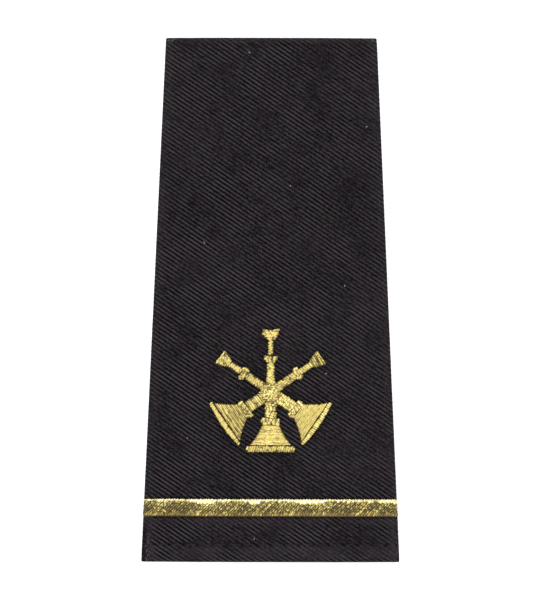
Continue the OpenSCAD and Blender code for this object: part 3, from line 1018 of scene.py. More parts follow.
class Field:
    """One stitched field of a bugle: a cushion over the cloth, and the courses of its threads.

    A place in it is a share of its length, from its outer end inwards, and across, from -1 to 1."""

    def __init__(self, sleeve, bugle, name):
        degrees, reach = BUGLES[bugle]
        row = (CENTRE_FIELDS if bugle == "centre" else SIDE_FIELDS)[name]
        start, finish, width_from, width_to, self.flare, hollow, relief = row
        self.sleeve, self.bugle, self.name = sleeve, bugle, name
        self.number = 10 * list(BUGLES).index(bugle) + FIELD_NAMES.index(name)
        self.turn = math.radians(degrees)
        self.widths = width_from * RIM_LENGTH, width_to * RIM_LENGTH
        inwards = -math.copysign(1, start) if finish is None else math.copysign(1, finish - start)
        self.start = start * reach + inwards * STITCH_GAP / 2
        if finish is None:
            self.finish = math.copysign(self.tube_start(start < 0) - 0.45 * MM, start)
        else:
            self.finish = finish * reach - inwards * STITCH_GAP / 2
        self.long = abs(self.finish - self.start)
        self.way = math.copysign(1, self.finish - self.start)
        self.hollow = hollow * (self.finish - self.start)
        self.dome = relief * SATIN_RELIEF - STITCH_GAP - SATIN_EDGE
        self.set_ends()
        self.set_threads()

    def set_ends(self):
        """Between which shares threads may lie, and how much of the dome its ends keep."""
        over = 0.10 * MM / self.long
        steps_down = self.name in ("rim", "lower_collar")
        self.closed = (0.01 if self.name in ("rim", "bell", "mouthpiece") else -over,
                       0.99 if steps_down else 1 + over)
        self.joined = (0.0 if self.name in ("rim", "mouthpiece") else 0.85,
                       0.3 if steps_down else 0.9)

    def set_threads(self):
        """How its threads run, and how many fill it."""
        self.stitching = STITCHING_OF.get((self.bugle, self.name), STITCHING[self.name])
        self.slope = math.tan(math.radians(self.stitching.lean))
        self.pitch = self.stitching.pitch * MM
        self.sideways = self.stitching.way == "across"
        if self.sideways:
            self.count = max(3, round(self.long / self.pitch))
        else:
            self.count = max(4, round(float(self.width(0.5)) / self.pitch))

    def tube_start(self, behind):
        """Distance from the crossing at which a tube comes clear of the knot and of its
        neighbours."""
        turn = self.turn + (math.pi if behind else 0)
        aside, along = KNOT_DROP * math.cos(turn), KNOT_DROP * math.sin(turn)
        knot = math.sqrt((KNOT_WIDTH / 2)**2 - aside**2) - along
        return max(knot, max(self.widths) / (2 * math.tan(ARM_ANGLE / 2))) + STITCH_GAP

    def width(self, share):
        """Full width at a share of the length."""
        low, high = self.widths
        return low + (high - low) * np.clip(share, 0, 1)**self.flare

    def spot(self, share, across):
        """Where a place lies on the board, seen from above."""
        across = -self.way * across
        place = (self.start + (self.finish - self.start) * share
                 + self.hollow * (1 - share) * (1 - np.clip(across, -1, 1)**2))
        aside = across * self.width(share) / 2
        return (place * math.cos(self.turn) + aside * math.sin(self.turn),
                CROSSING_Y + place * math.sin(self.turn) - aside * math.cos(self.turn))

    def height(self, share, across):
        """Height of the cushion's face over the cloth, which it meets only at a bugle's own ends."""
        share = np.clip(share, 0, 1)
        cap = np.sqrt(np.clip(1 - (2 * share - 1)**4, 0, 1))
        joined = self.joined[0] + (self.joined[1] - self.joined[0]) * share
        end_cap = cap + (1 - cap) * joined
        side_cap = np.sqrt(np.clip(1 - across**2, 0, 1))
        return STITCH_GAP + SATIN_EDGE + self.dome * end_cap * side_cap

    def upward(self, share, across):
        """How far a place lies towards the collar's side of the field, from -1 to 1."""
        return (self.spot(share, across)[1] - self.spot(share, 0.0 * across)[1]) / self.width(share) * 2

    def point(self, share, across, height):
        """A point at some height over the cloth."""
        return self.sleeve.over(*self.spot(share, across), height)

    def middles(self):
        """Where the middles of the threads lie: their shares, or how far across."""
        if not self.sideways:
            return -1 + 2 * (np.arange(self.count) + 0.5) / self.count
        beyond = math.ceil(abs(self.slope) * max(self.widths) / 2 / self.pitch)
        return (np.arange(-beyond, self.count + beyond) + 0.5) / self.count

    def course_across(self, random, middle):
        """Places of a thread from one side to the other."""
        wide = float(self.width(middle))
        # A collar's first and last threads are shorter than those between.
        back = 0.24 * abs(2 * middle - 1)**2 if self.name.endswith("collar") else 0.0
        jut = 1 + random.normal(self.stitching.reach - back, self.stitching.ragged, 2) * MM * 2 / wide
        across = np.linspace(-jut[0], jut[1], steps_for(wide))
        wander = np.sin(across * wide / MM * 0.9 + random.uniform(0, 2 * math.pi))
        share = (middle + self.slope * wide / 2 / self.long * across
                 + (random.normal(0, 0.05) + 0.12 * wander) * self.pitch / self.long)
        # The outer end of the centre mouthpiece has a notch.
        if (self.bugle, self.name) == ("centre", "mouthpiece"):
            share = share + 0.20 * bell_curve(across - 0.15, 0.14) * max(0, 1 - middle / 0.35)
        inside = (share > self.closed[0]) & (share < self.closed[1])
        return share[inside], across[inside]

    def course_along(self, random, middle):
        """Places of a thread from one end to the other."""
        jut = random.normal(self.stitching.reach, self.stitching.ragged, 2) * MM / self.long
        share = np.linspace(-jut[0], 1 + jut[1], steps_for(self.long, 0.08 * MM))
        lean = self.slope * self.long / float(self.width(0.5))
        across = middle + lean * (share - 0.5) * 2 + random.normal(0, 0.10) / self.count
        inside = np.abs(across) < 0.985
        return share[inside], across[inside]

    def pitted(self, share, across):
        """How far the needle's holes have drawn each place down, from 0 to 1."""
        x, y = self.spot(share, across)
        pitted = np.clip(1.5 * ripples(x, y, 1.15 * MM, seed=70 + self.number) - 0.9, 0, 1)
        if self.stitching.hole:
            hole_share, hole_across = self.stitching.hole
            away = np.hypot((share - hole_share) * self.long,
                            (across - hole_across) * self.width(share) / 2)
            pitted = np.maximum(pitted, 0.8 / self.stitching.pits * bell_curve(away, 0.22 * MM))
        return pitted

    def edge_light_and_shade(self, share, ends):
        """Painted light and shade along the rim's or a collar's edges: painted shade on the rim's outer
        fringe and in a dark line on its inner side, painted highlight on a collar's knobbed ends.
        """
        if self.name == "rim":
            fringe = np.clip((0.45 if self.bugle == "centre" else 0.2) - share, 0, 1) / 0.45
            return -0.30 * fringe - 0.6 * np.clip((share - 0.86) / 0.12, 0, 1)
        if self.name.endswith("collar"):
            return 0.16 * bell_curve(ends - 0.32 * MM, 0.3 * MM)
        return 0.0


def pad_field(parts, field, gold):
    """The padding under a field's threads."""
    share, across = np.broadcast_arrays(0.02 + 0.96 * eased(9)[:, None], 0.97 * (2 * eased(13) - 1))
    padding = np.maximum(field.height(share, across) - 1.5 * gold.half_height, 0.10 * MM)
    add_cushion(parts, field.point(share, across, padding), field.point(share, across, CUSHION_FOOT))


def lay_field_thread(parts, field, gold, random, middle, first_stroke):
    """Lays one thread of a field. It dives into the cloth at both ends."""
    stitching = field.stitching
    stout = gold.stoutness * field.pitch * random.uniform(0.95, 1.2)
    course = field.course_across if field.sideways else field.course_along
    share, across = course(random, middle)
    if len(share) < FEWEST_POINTS:
        return
    run = run_along(field.point(share, across, 0.0))
    ends = to_end(run)
    at_side = np.where(np.abs(across if field.sideways else 2 * share - 1) > 0.7, 1.0, 0.35)
    down = DIVE * near(ends, 0.22 * MM)**1.6 * at_side
    dips = needle_dips(random, run, stitching.stitch * MM) if stitching.stitch else 0 * run
    pitted = stitching.pits * field.pitted(share, across)
    stroke = np.cos(2 * math.pi * (middle * field.long / STROKE + 0.16 * across) + first_stroke)
    rise = random.normal(0, 0.008 * MM) - STROKE_DROP * (1 - stroke) / 2 * (stitching.strokes > 0)
    height = (field.height(share, across) - 0.75 * gold.half_height - down - DIP * dips
              - PIT * pitted + rise)
    # Painted light: the side of a field towards the collar is paler and the other side darker, with
    # painted shade in the needle's dips and holes, where threads dive at the sides, and along the
    # edges.
    lit = field.upward(share, across)
    tone = (stitching.tone + random.normal(0, 0.03) + stitching.strokes * stroke
            + (0.10 if field.name in ("rim", "bell") else 0.15) * lit * np.abs(lit)
            - 1.3 * stitching.flank_shade * dips - pitted - 0.40 * near(ends, 0.30 * MM) * at_side
            + field.edge_light_and_shade(share, ends))
    if field.name.endswith("collar"):
        stout = stout * (0.92 + 0.40 * bell_curve(ends - 0.28 * MM, 0.3 * MM))
    path = field.point(share, across, np.maximum(height, -DEEPEST))
    lay_thread(parts, path, right_of(path), stout, gold.half_height,
               gold.twist * random.uniform(0.85, 1.15), tone, random.uniform(0, math.pi),
               stitching.lobes, stitching.worn, flank_shade=stitching.flank_shade)


def edge_mouthpiece(parts, field, gold):
    """The bumpy cord round the end of a side bugle's mouthpiece."""
    across = np.linspace(-0.96, 0.96, steps_for(float(field.width(0))))
    bump = np.sin(across * 10 + field.number)
    over = field.height(0.12, across) - 0.7 * gold.half_height - 0.2 * MM * np.abs(across)**6
    path = field.point(0.045 + 0.022 * bump, across, over)
    lay_thread(parts, path, right_of(path), 0.17 * MM, gold.half_height, gold.twist,
               field.stitching.tone + 0.06 + 0.12 * bump, start=0.4, lobes=0.12, worn=0.5)


def make_field(sleeve, gold, material, bugle, name):
    """One stitched field of a bugle."""
    field = Field(sleeve, bugle, name)
    random = np.random.default_rng(100 + field.number)
    parts = MeshParts()
    pad_field(parts, field, gold)
    first_stroke = random.uniform(0, 2 * math.pi)
    for middle in field.middles():
        lay_field_thread(parts, field, gold, random, middle, first_stroke)
    if name == "mouthpiece" and bugle != "centre":
        edge_mouthpiece(parts, field, gold)
    return dressed(parts.make(f"{bugle}_{name}_threads", material), "gold_thread", f"{bugle}_{name}")


class Knot:
    """The knot over the crossing: a dome of threads that lie every way."""

    def __init__(self, sleeve, gold):
        self.sleeve, self.gold = sleeve, gold
        self.parts, self.random = MeshParts(), np.random.default_rng(77)
        self.radius, self.middle_y = KNOT_WIDTH / 2, CROSSING_Y - KNOT_DROP

    def height(self, x, y):
        """Height of the dome over the cloth."""
        out = np.clip(np.hypot(x, y - self.middle_y) / self.radius, 0, 1)
        return STITCH_GAP + KNOT_EDGE + (KNOT_RELIEF - STITCH_GAP - KNOT_EDGE) * (1 - out**2.6)

    def lay(self, x, y, over, aside, tone, lobes=0.2):
        """Lays one thread of the knot."""
        random = self.random
        lay_thread(self.parts, self.sleeve.over(x, y, over), aside,
                   0.24 * MM * random.uniform(0.85, 1.1), self.gold.half_height,
                   1.4 * MM * random.uniform(0.8, 1.1), tone, random.uniform(0, math.pi), lobes,
                   worn=0.6, flank_shade=0.34)

    def pad(self):
        """The padding under the threads."""
        turns = np.linspace(0, 2 * math.pi, 37)
        rings = np.sin(np.linspace(0.02, math.pi / 2, 9))[:, None] * self.radius * 0.93
        x, y = rings * np.cos(turns), self.middle_y + rings * np.sin(turns)
        over = np.maximum(self.height(x, y) - 1.5 * self.gold.half_height, 0.06 * MM)
        add_cushion(self.parts, self.sleeve.over(x, y, over), self.sleeve.over(x, y, CUSHION_FOOT))

    def lay_bands(self):
        """Threads that cross the whole knot from side to side."""
        random = self.random
        count = round(KNOT_WIDTH / BAND_PITCH)
        for number in range(count):
            off = KNOT_WIDTH * (number + 0.5) / count - self.radius
            reach = math.sqrt(max(0, self.radius**2 - off**2)) + random.normal(0, 0.16 * MM)
            if reach < 0.5 * MM:
                continue
            x = np.linspace(-reach, reach, steps_for(2 * reach))
            y = self.middle_y + off + 0.06 * MM * np.sin(x / MM * 1.7 + number)
            run = x + reach
            down = DIVE * near(to_end(run), 0.3 * MM)**1.4
            dips = needle_dips(random, run, 1.2 * MM)
            over = self.height(x, y) - 0.75 * self.gold.half_height - down - 0.09 * MM * dips
            # Painted shade in the needle's dips.
            tone = (0.60 if number % 3 else 0.78) + random.normal(0, 0.06) - dips * 0.35
            self.lay(x, y, over, TO_BASE, tone, lobes=0.12)

    def lay_short_stitches(self):
        """Short raised stitches over the upper half."""
        random = self.random
        for _ in range(SHORT_STITCHES):
            away = self.radius * random.uniform(0, 1)**0.6
            turn = random.uniform(-0.25, math.pi + 0.25)
            way, half = random.normal(0.35, 0.7), random.uniform(0.30, 0.50) * MM
            x, y = away * math.cos(turn), self.middle_y + away * math.sin(turn)
            stitch = ShortStitch(x, y, way, half, 13)
            over = self.height(stitch.x, stitch.y) + stitch.arch(0.16 * MM) - 0.13 * MM
            # Painted shade: the stitch darkens towards its ends, where it dives.
            tone = 0.80 + random.normal(0, 0.12) - 0.6 * np.abs(stitch.out)**3
            self.lay(stitch.x, stitch.y, over, stitch.aside, tone)


def make_knot(sleeve, gold, material):
    """The knot: bands across it, then short stitches every way over its upper half."""
    knot = Knot(sleeve, gold)
    knot.pad()
    knot.lay_bands()
    knot.lay_short_stitches()
    return dressed(knot.parts.make("knot_threads", material), "gold_thread", "crossing_knot")


# Seams and specks

# Length of one turn of the sewing thread, and half the thickness of the hem row's stitches over
# the front and inside it, the side seams' and the bar tacks'.
SEWING_TWIST = 0.9 * MM
ROW_THICK, INNER_THICK, SEAM_THICK, TACK_THICK = 0.095 * MM, 0.11 * MM, 0.11 * MM, 0.065 * MM

# Bar tacks at the front's corners: -1 for the left or 1 for the right, distances in mm from the
# side edge and from the mouth, -1 for the base's mouth or 1 for the collar's, the number of
# stitches, and the step between them in mm.
TACKS = ((-1, 1.1, 0.5, -1, 7, 0.92), (-1, 0.6, 0.55, 1, 2, 0.8), (1, 0.9, 0.5, 1, 1, 0.9))

# Specks of lint on the twill: their places and lengths in mm.
SPECKS = ((20.0, 36.4, 0.42), (-4.6, 51.9, 0.5), (11.6, -15.4, 0.36), (-3.4, -50.1, 0.34),
          (-14.0, 12.0, 0.5), (15.5, 3.0, 0.45), (-17.5, -29.0, 0.4), (4.0, 24.0, 0.4))


def lay_stitch(parts, path, aside, thick):
    """Lays one stitch of sewing thread."""
    lay_thread(parts, path, aside, thick * 1.2, thick, SEWING_TWIST, tone=0.5, lobes=0.16)


def sunk_ends(count, deep):
    """Depths of a stitch that dives into the cloth at both ends."""
    return deep * np.abs(np.linspace(-1, 1, count))**6


def make_hem_stitches(sleeve, material):
    """The row of stitches that holds the wide mouth's hem, over the front and inside it."""
    parts, count = MeshParts(), 23
    inner = 2 * sleeve.sizes.cloth_wall + HEM_SLACK
    inner_reach = sleeve.share_of(HEM_COLUMN) * sleeve.flat_half(HEM_ROW) - 0.5 * MM
    for start in hem_stitch_starts(sleeve):
        across = np.linspace(start, start + HEM_STITCH, count)
        wobble = 0.05 * MM * math.sin(start / MM * 3.1)
        y = HEM_ROW + wobble * np.linspace(-1, 1, count)
        deep = 0.05 * MM + 0.05 * MM * math.sin(start / MM * 1.3)
        lay_stitch(parts, sleeve.point(across, y, deep + sunk_ends(count, 0.42 * MM)), TO_BASE,
                   ROW_THICK)
        if np.abs(across).max() < inner_reach:
            deep = inner - 0.06 * MM - sunk_ends(count, 0.3 * MM)
            lay_stitch(parts, sleeve.point(across, y, deep), TO_BASE, INNER_THICK)
    return dressed(parts.make("hem_stitches", material), "black_twill")


def make_side_stitches(sleeve, material):
    """Whipped stitches that join the front to the back along both seams underneath."""
    parts, count = MeshParts(), 15
    step, half_wide, half_long = 2.2 * MM, 0.62 * MM, 0.45 * MM
    out = np.linspace(-1, 1, count)
    for side in (-1, 1):
        aside = np.array([0.55, -0.83 * side, 0.0])
        for middle in np.arange(-HALF_LENGTH + 1.4 * MM, HALF_LENGTH - 1.2 * MM, step):
            y = middle + half_long * out
            x = side * (sleeve.flat_half(y) + half_wide * out)
            z = 0.125 * MM + sunk_ends(count, 0.35 * MM)
            lay_stitch(parts, np.stack([x, y, z], -1), aside, SEAM_THICK)
    return dressed(parts.make("side_seam_stitches", material), "back_cloth")


def make_bar_tacks(sleeve, material):
    """Small pale stitches that hold the corners."""
    random = np.random.default_rng(12)
    parts, points = MeshParts(), 9
    for side, inwards, first, end, count, step in TACKS:
        for number in range(count):
            y = end * (HALF_LENGTH - (first + (number * step if end < 0 else 0)) * MM)
            sideways = number * step if end > 0 else random.normal(0, 0.16)
            across = side * (sleeve.flat_half(y) + sleeve.sizes.fold_radius - (inwards + sideways) * MM)
            half = random.uniform(0.28, 0.55) * MM
            lean, bow = random.normal(1.2, 0.7), random.normal(0, 0.16 * MM)
            stitch = ShortStitch(across, y, lean, half, points, bow)
            deep = 0.05 * MM + 0.05 * MM * number / count + sunk_ends(points, 0.16 * MM)
            lay_stitch(parts, sleeve.point(stitch.x, stitch.y, deep), stitch.aside, TACK_THICK)
    return dressed(parts.make("bar_tacks", material), "black_twill")


def make_lint(sleeve, material):
    """A few curled specks on the front."""
    random = np.random.default_rng(3)
    parts = MeshParts()
    for x, y, long in SPECKS:
        way, half = random.uniform(0, math.pi), long / 2 * MM
        bow = random.uniform(-0.5, 0.5) * half / 2
        speck = ShortStitch(x * MM, y * MM, way, half, 9, bow)
        lay_thread(parts, sleeve.over(speck.x, speck.y, 0.03 * MM), speck.aside, 0.045 * MM,
                   0.04 * MM, 0.5 * MM, tone=0.5, lobes=0.1)
    return dressed(parts.make("lint", material), "black_twill")


# Shaders


class Value:
    """A number in a shader. Arithmetic on it adds the Math nodes that reckon it."""

    def __init__(self, shader, socket):
        self.shader, self.socket = shader, socket

    def maths(self, operation, *numbers):
        return self.shader.node("ShaderNodeMath", {"operation": operation}, dict(enumerate(numbers)))

    def __add__(self, other):
        return self.maths("ADD", self, other)

    def __sub__(self, other):
        return self.maths("SUBTRACT", self, other)

    def __rsub__(self, other):
        return self.maths("SUBTRACT", other, self)

    def __mul__(self, other):
        return self.maths("MULTIPLY", self, other)

    def __truediv__(self, other):
        return self.maths("DIVIDE", self, other)

    def __rtruediv__(self, other):
        return self.maths("DIVIDE", other, self)

    def __pow__(self, other):
        return self.maths("POWER", self, other)

    def __rpow__(self, other):
        return self.maths("POWER", other, self)

    __radd__, __rmul__ = __add__, __mul__

    def floor(self):
        return self.maths("FLOOR", self)

    def part(self):
        """What is left over the next whole number below."""
        return self.maths("FRACT", self)

    def sine(self):
        return self.maths("SINE", self)

    def held(self, low=0.0, high=1.0):
        """Kept between two limits."""
        return self.shader.node("ShaderNodeClamp", {}, {"Value": self, "Min": low, "Max": high})


class Shader:
    """A material's node tree, with its Principled shader."""

    def __init__(self, name, **even):
        self.material = bpy.data.materials.new(name)
        self.material.use_nodes = True
        self.tree = self.material.node_tree
        self.surface = self.tree.nodes["Principled BSDF"]
        self.paint(**even)

    def set(self, node, socket, value):
        """Links a value or writes a number into one of a node's sockets."""
        inlet = node.inputs[socket]
        if isinstance(value, Value):
            self.tree.links.new(value.socket, inlet)
        elif inlet.type == "RGBA" and len(value) == 3:
            inlet.default_value = (*value, 1.0)
        else:
            inlet.default_value = value

    def node(self, kind, settings, sockets, output=0):
        """Adds a node: its settings first, then its sockets; gives one of its outputs."""
        made = self.tree.nodes.new(kind)
        for name, value in settings.items():
            if name == "stops":
                self.set_stops(made.color_ramp.elements, value)
            else:
                setattr(made, name, value)
        for socket, value in sockets.items():
            self.set(made, socket, value)
        return Value(self, made.outputs[output])

    def set_stops(self, elements, stops):
        """Writes a colour ramp's (place, colour) stops."""
        while len(elements) < len(stops):
            elements.new(1.0)
        for element, (place, shade) in zip(elements, stops):
            element.position, element.color = place, (*shade, 1.0)

    def paint(self, **sockets):
        """Feeds the surface."""
        for socket, value in sockets.items():
            self.set(self.surface, socket.replace("_", " "), value)
        return self.material

    def note(self, name, output="Fac"):
        """What is written on the mesh's points under a name."""
        return self.node("ShaderNodeAttribute", {"attribute_name": name}, {}, output)

    def place(self):
        """Where a point lies in its object."""
        return self.node("ShaderNodeTexCoord", {}, {}, "Object")

    def parts_of(self, vector):
        """The three numbers of a vector."""
        first = self.node("ShaderNodeSeparateXYZ", {}, {"Vector": vector})
        return [Value(self, socket) for socket in first.socket.node.outputs]

    def vector(self, x, y, z):
        return self.node("ShaderNodeCombineXYZ", {}, {"X": x, "Y": y, "Z": z})

    def scaled(self, vector, factors):
        return self.node("ShaderNodeVectorMath", {"operation": "MULTIPLY"}, {0: vector, 1: factors})

    def noise(self, vector, scale=1.0, detail=2.0, roughness=0.5):
        return self.node("ShaderNodeTexNoise", {}, {
            "Vector": vector, "Scale": scale, "Detail": detail, "Roughness": roughness})

    def mix(self, factor, first, second, blend="MIX"):
        return self.node("ShaderNodeMix", {"data_type": "RGBA", "blend_type": blend},
                         {0: factor, 6: first, 7: second}, output=2)

    def bump(self, height, distance, strength=1.0):
        return self.node("ShaderNodeBump", {}, {
            "Strength": strength, "Distance": distance, "Height": height})


def shade_of(dye, factor, tint=(1.0, 1.0, 1.0)):
    """A dye made darker or paler, and tinted."""
    return tuple(min(1.0, part * more * factor) for part, more in zip(dye, tint))


# How many yarns lie side by side in one rib of the twill.
YARNS = 4


def yarn_floats(across, along, pitch, slope):
    """How round each yarn is, and how far its floats rise, a step further down at each yarn."""
    yarns = across * (YARNS * math.sin(slope) / pitch)
    picks = along * (YARNS * math.cos(slope) / pitch)
    step = ((yarns.floor() + 0.5 + picks) / YARNS).part()
    return 1 - (yarns.part() * 2 - 1)**2, (step * math.pi).sine()**0.5


def rib_light(shader, weave, across, along, pitch, slope, floats):
    """How pale the cloth is painted: painted light on its ribs and painted shade in the lines between
    them, clear in some places and dull in others, with streaks, beads and specks of fibre along them.
    Creases get painted shade, and cloth marked lit and faded is painted paler with duller ribs."""
    creased, rubbed = shader.note("creased"), shader.note("rubbed")
    down_rib = across * math.cos(slope) - along * math.sin(slope)
    phase = (across * math.sin(slope) + along * math.cos(slope)) / pitch
    rib = (phase * math.pi).sine()**2
    cloudy = shader.noise(weave, 150.0, 3.0, 0.6)
    patchy = shader.noise(weave, 75.0, 2.0, 0.6)
    speckled = shader.noise(weave, 3700.0, 2.0, 0.7)
    streaks = shader.noise(shader.vector(down_rib * 420.0, phase * 0.8, 0.0), 1.0, 2.0, 0.6)
    beads = shader.noise(shader.vector(down_rib * 1500.0, phase, 3.0), 1.0, 1.0, 0.5)
    clearer_low_down = 1.06 - across * 7.0 + (along * -14.0 - 0.50).held(0.0, 0.25)
    clear = (4.6 * (cloudy - 0.5) + 0.78).held(0.12, 1.35) * clearer_low_down
    # Painted light: paler on the ribs and on raised yarn floats, darker between them; paler with duller
    # ribs where the cloth is marked lit and faded.
    pale = (0.33 + 0.22 * rubbed + 0.80 * (rib - 0.42) * clear * (1 - 0.75 * rubbed)
            + 0.10 * (floats - 0.4) + 2.0 * (speckled - 0.5) + 0.60 * (streaks - 0.5)
            + 0.75 * (beads - 0.5) * (0.4 + rib) + 0.40 * (patchy - 0.5))
    return (pale * (1 - 0.8 * creased)).held()


def twill_cloth(name, dye, pitch, slope):
    """Worsted twill: floats of yarn one beside the other, stepping down along each rib."""
    shader = Shader(name, Specular_IOR_Level=0.035)
    weave = shader.note("weave", "Vector")
    across, along, _ = shader.parts_of(weave)
    round_yarn, over = yarn_floats(across, along, pitch, slope)
    fibres = shader.noise(shader.scaled(weave, (22000.0, 5200.0, 1.0)), 1.0, 2.0, 0.6)
    height = round_yarn * (0.35 + 0.65 * over) + fibres * 0.35
    lit = rib_light(shader, weave, across, along, pitch, slope, round_yarn * over)
    tint = (3.2 * (shader.noise(weave, 260.0, 3.0, 0.6) - 0.5) + 0.5).held()
    # Lit and shaded copies of the dye: painted light on the ribs, painted shade between them and in
    # creases.
    deep = shader.mix(tint, shade_of(dye, 0.05, (1.03, 0.96, 1.04)),
                      shade_of(dye, 0.05, (0.98, 1.06, 0.94)))
    bright = shader.mix(tint, shade_of(dye, 4.0, (1.04, 0.97, 1.02)),
                        shade_of(dye, 4.0, (0.96, 1.06, 0.95)))
    return shader.paint(Base_Color=shader.mix(lit, deep, bright), Roughness=0.92 - 0.2 * lit,
                        Normal=shader.bump(height, 0.06 * MM, 0.7))


def gold_thread(name, gold):
    """Two-ply gold thread: yellow satin, with painted highlight in pale gold where it turns up to the
    light and painted shade in olive where it turns away.
    """
    shader = Shader(name, Metallic=0.45, Specular_IOR_Level=0.5, Specular_Tint=(1.0, 0.93, 0.75, 1.0))
    tone, worn, warm = shader.note("tone"), shader.note("worn"), shader.note("warm")
    strand, place = shader.note("strand", "Vector"), shader.place()
    plies, run, _ = shader.parts_of(strand)
    flecks = shader.noise(shader.scaled(strand, (0.12, 1250.0, 9.0)), 1.0, 1.5, 0.6)
    glitter = shader.noise(shader.scaled(strand, (0.5, 4200.0, 30.0)), 1.0, 1.0, 0.5)
    blobs = shader.noise(place, 1450.0, 1.0, 0.5)
    # worn sets how strongly painted glints and random mottling show in the colour.
    gleam = (tone + worn * (0.70 * (flecks - 0.5) + 0.50 * (blobs - 0.5))).held()
    # The ramp paints light and shade over random tone: umber and olive are painted shade, yellow and
    # pale gold painted highlight.
    stops = [(0.0, gold.umber), (0.20, shade_of(gold.shaded_olive, 0.65)), (0.40, gold.shaded_olive),
             (0.58, gold.gold), (0.78, gold.yellow), (1.0, gold.pale)]
    shade = shader.node("ShaderNodeValToRGB", {"stops": stops}, {"Fac": gleam}, output="Color")
    # Painted orange reflected light along the stripe's lower edge.
    reflection_warmed = shader.mix(warm, shade, (1.0, 0.74, 0.50), "MULTIPLY")
    hue = (3.6 * (shader.noise(place, 1400.0, 1.0, 0.5) - 0.5) + 0.40).held()
    tint = shader.mix(hue, (0.95, 1.03, 0.74), (1.05, 0.96, 1.26))
    filaments = (plies * 3.0 + run * 9000.0).sine()
    return shader.paint(Base_Color=shader.mix(1.0, reflection_warmed, tint, "MULTIPLY"),
                        Roughness=0.36 + 0.2 * glitter,
                        Normal=shader.bump(filaments * 0.4 + worn * flecks, 0.03 * MM, 0.5))


def plain_thread(name, dye, roughness=0.8, sheen=0.1):
    """Sewing thread with its filaments showing."""
    shader = Shader(name, Specular_IOR_Level=sheen)
    strand = shader.note("strand", "Vector")
    plies, run, _ = shader.parts_of(strand)
    filaments = (plies * 3.0 + run * 8000.0).sine()
    fuzz = shader.noise(shader.scaled(strand, (0.4, 5000.0, 1.0)))
    return shader.paint(
        Base_Color=shader.mix(fuzz, shade_of(dye, 0.6), shade_of(dye, 1.4)),
        Roughness=roughness + 0.15 * (fuzz - 0.5),
        Normal=shader.bump(filaments, 0.02 * MM, 0.5))


# The stage

FLOOR_REACH, FLOOR_DROP = 4.0, 0.02 * MM
KEY_PLACE, KEY_SIZE = (-0.1, 0.85, 0.98), 0.45
FILL_PLACE, FILL_SIZE = (0.1, -0.9, 0.9), 0.9

# The camera stands a little to the left, and what it shows is measured at the board's face.
CAMERA_X, FACE_HEIGHT = -0.18 * MM, 7 * MM
SENSOR_WIDTH = 36.0


def make_floor():
    """A plain pale floor."""
    mesh = bpy.data.meshes.new("studio_floor")
    corners = [(x * FLOOR_REACH, y * FLOOR_REACH, -FLOOR_DROP)
               for x, y in ((-1, -1), (1, -1), (1, 1), (-1, 1))]
    mesh.from_pydata(corners, [], [(0, 1, 2, 3)])
    shader = Shader("pale_floor", Roughness=0.9, Specular_IOR_Level=0.1)
    grain = shader.noise(shader.place(), 9.0)
    mesh.materials.append(shader.paint(
        Base_Color=shader.mix(grain, (0.94, 0.94, 0.94), (0.96, 0.96, 0.96))))
    floor = bpy.data.objects.new("studio_floor", mesh)
    bpy.context.scene.collection.objects.link(floor)


def make_light(name, place, size, strength):
    """A soft square light that faces the board."""
    lamp = bpy.data.lights.new(name, "AREA")
    lamp.shape, lamp.size, lamp.energy = "SQUARE", size, strength
    light = bpy.data.objects.new(name, lamp)
    light.location = place
    light.rotation_mode = "QUATERNION"
    light.rotation_quaternion = light.location.normalized().to_track_quat("Z", "Y")
    light.visible_camera = False
    bpy.context.scene.collection.objects.link(light)


def make_sky(strength):
    """Even white light from all round."""
    world = bpy.data.worlds.new("studio_sky")
    world.use_nodes = True
    backdrop = world.node_tree.nodes["Background"]
    backdrop.inputs["Color"].default_value = (1.0, 1.0, 1.0, 1.0)
    backdrop.inputs["Strength"].default_value = strength
    bpy.context.scene.world = world


def make_camera(studio):
    """Looks straight down from far away, so that the board's edges stay straight."""
    camera = bpy.data.cameras.new("camera")
    height = studio.camera_height
    camera.sensor_width = SENSOR_WIDTH
    camera.lens = SENSOR_WIDTH * (height - FACE_HEIGHT) / studio.view_height
    camera.clip_start, camera.clip_end = 0.1, height * 3
    view = bpy.data.objects.new("camera", camera)
    view.location = (CAMERA_X, 0.0, height)
    view.rotation_euler = (0.0, 0.0, studio.picture_turn)
    bpy.context.scene.collection.objects.link(view)
    bpy.context.scene.camera = view


# Operators and panel


class BOARD_OT_front_cloth(bpy.types.Operator):
    """Weave the front, which wraps round both side folds, and turn in its hems at the mouths"""

    bl_idname = "board.front_cloth"
    bl_label = "Front cloth and hems"

    def execute(self, context):
        sizes, finish = context.scene.sleeve_sizes, context.scene.twill_finish
        sleeve = Sleeve(sizes)
        cloth = twill_cloth("ribbed_twill", finish.black, finish.rib_pitch, finish.rib_angle)
        front = make_front_cloth(sleeve, finish, cloth)
        hems = [make_hem_cloth(sleeve, finish, cloth, f"{node}_cloth", node, end, deep)
                for node, end, deep in (("base_hem", -1, sizes.base_hem_depth),
                                        ("collar_hem", 1, sizes.collar_hem_depth))]
        declare_front(sleeve)
        return {"FINISHED"}


class BOARD_OT_back_cloth(bpy.types.Operator):
    """Weave the plain back"""

    bl_idname = "board.back_cloth"
    bl_label = "Back cloth"

    def execute(self, context):
        finish = context.scene.twill_finish
        cloth = twill_cloth("back_lining", finish.lining, finish.back_rib_pitch, -finish.rib_angle)
        make_back_cloth(Sleeve(context.scene.sleeve_sizes), finish, cloth)
        return {"FINISHED"}


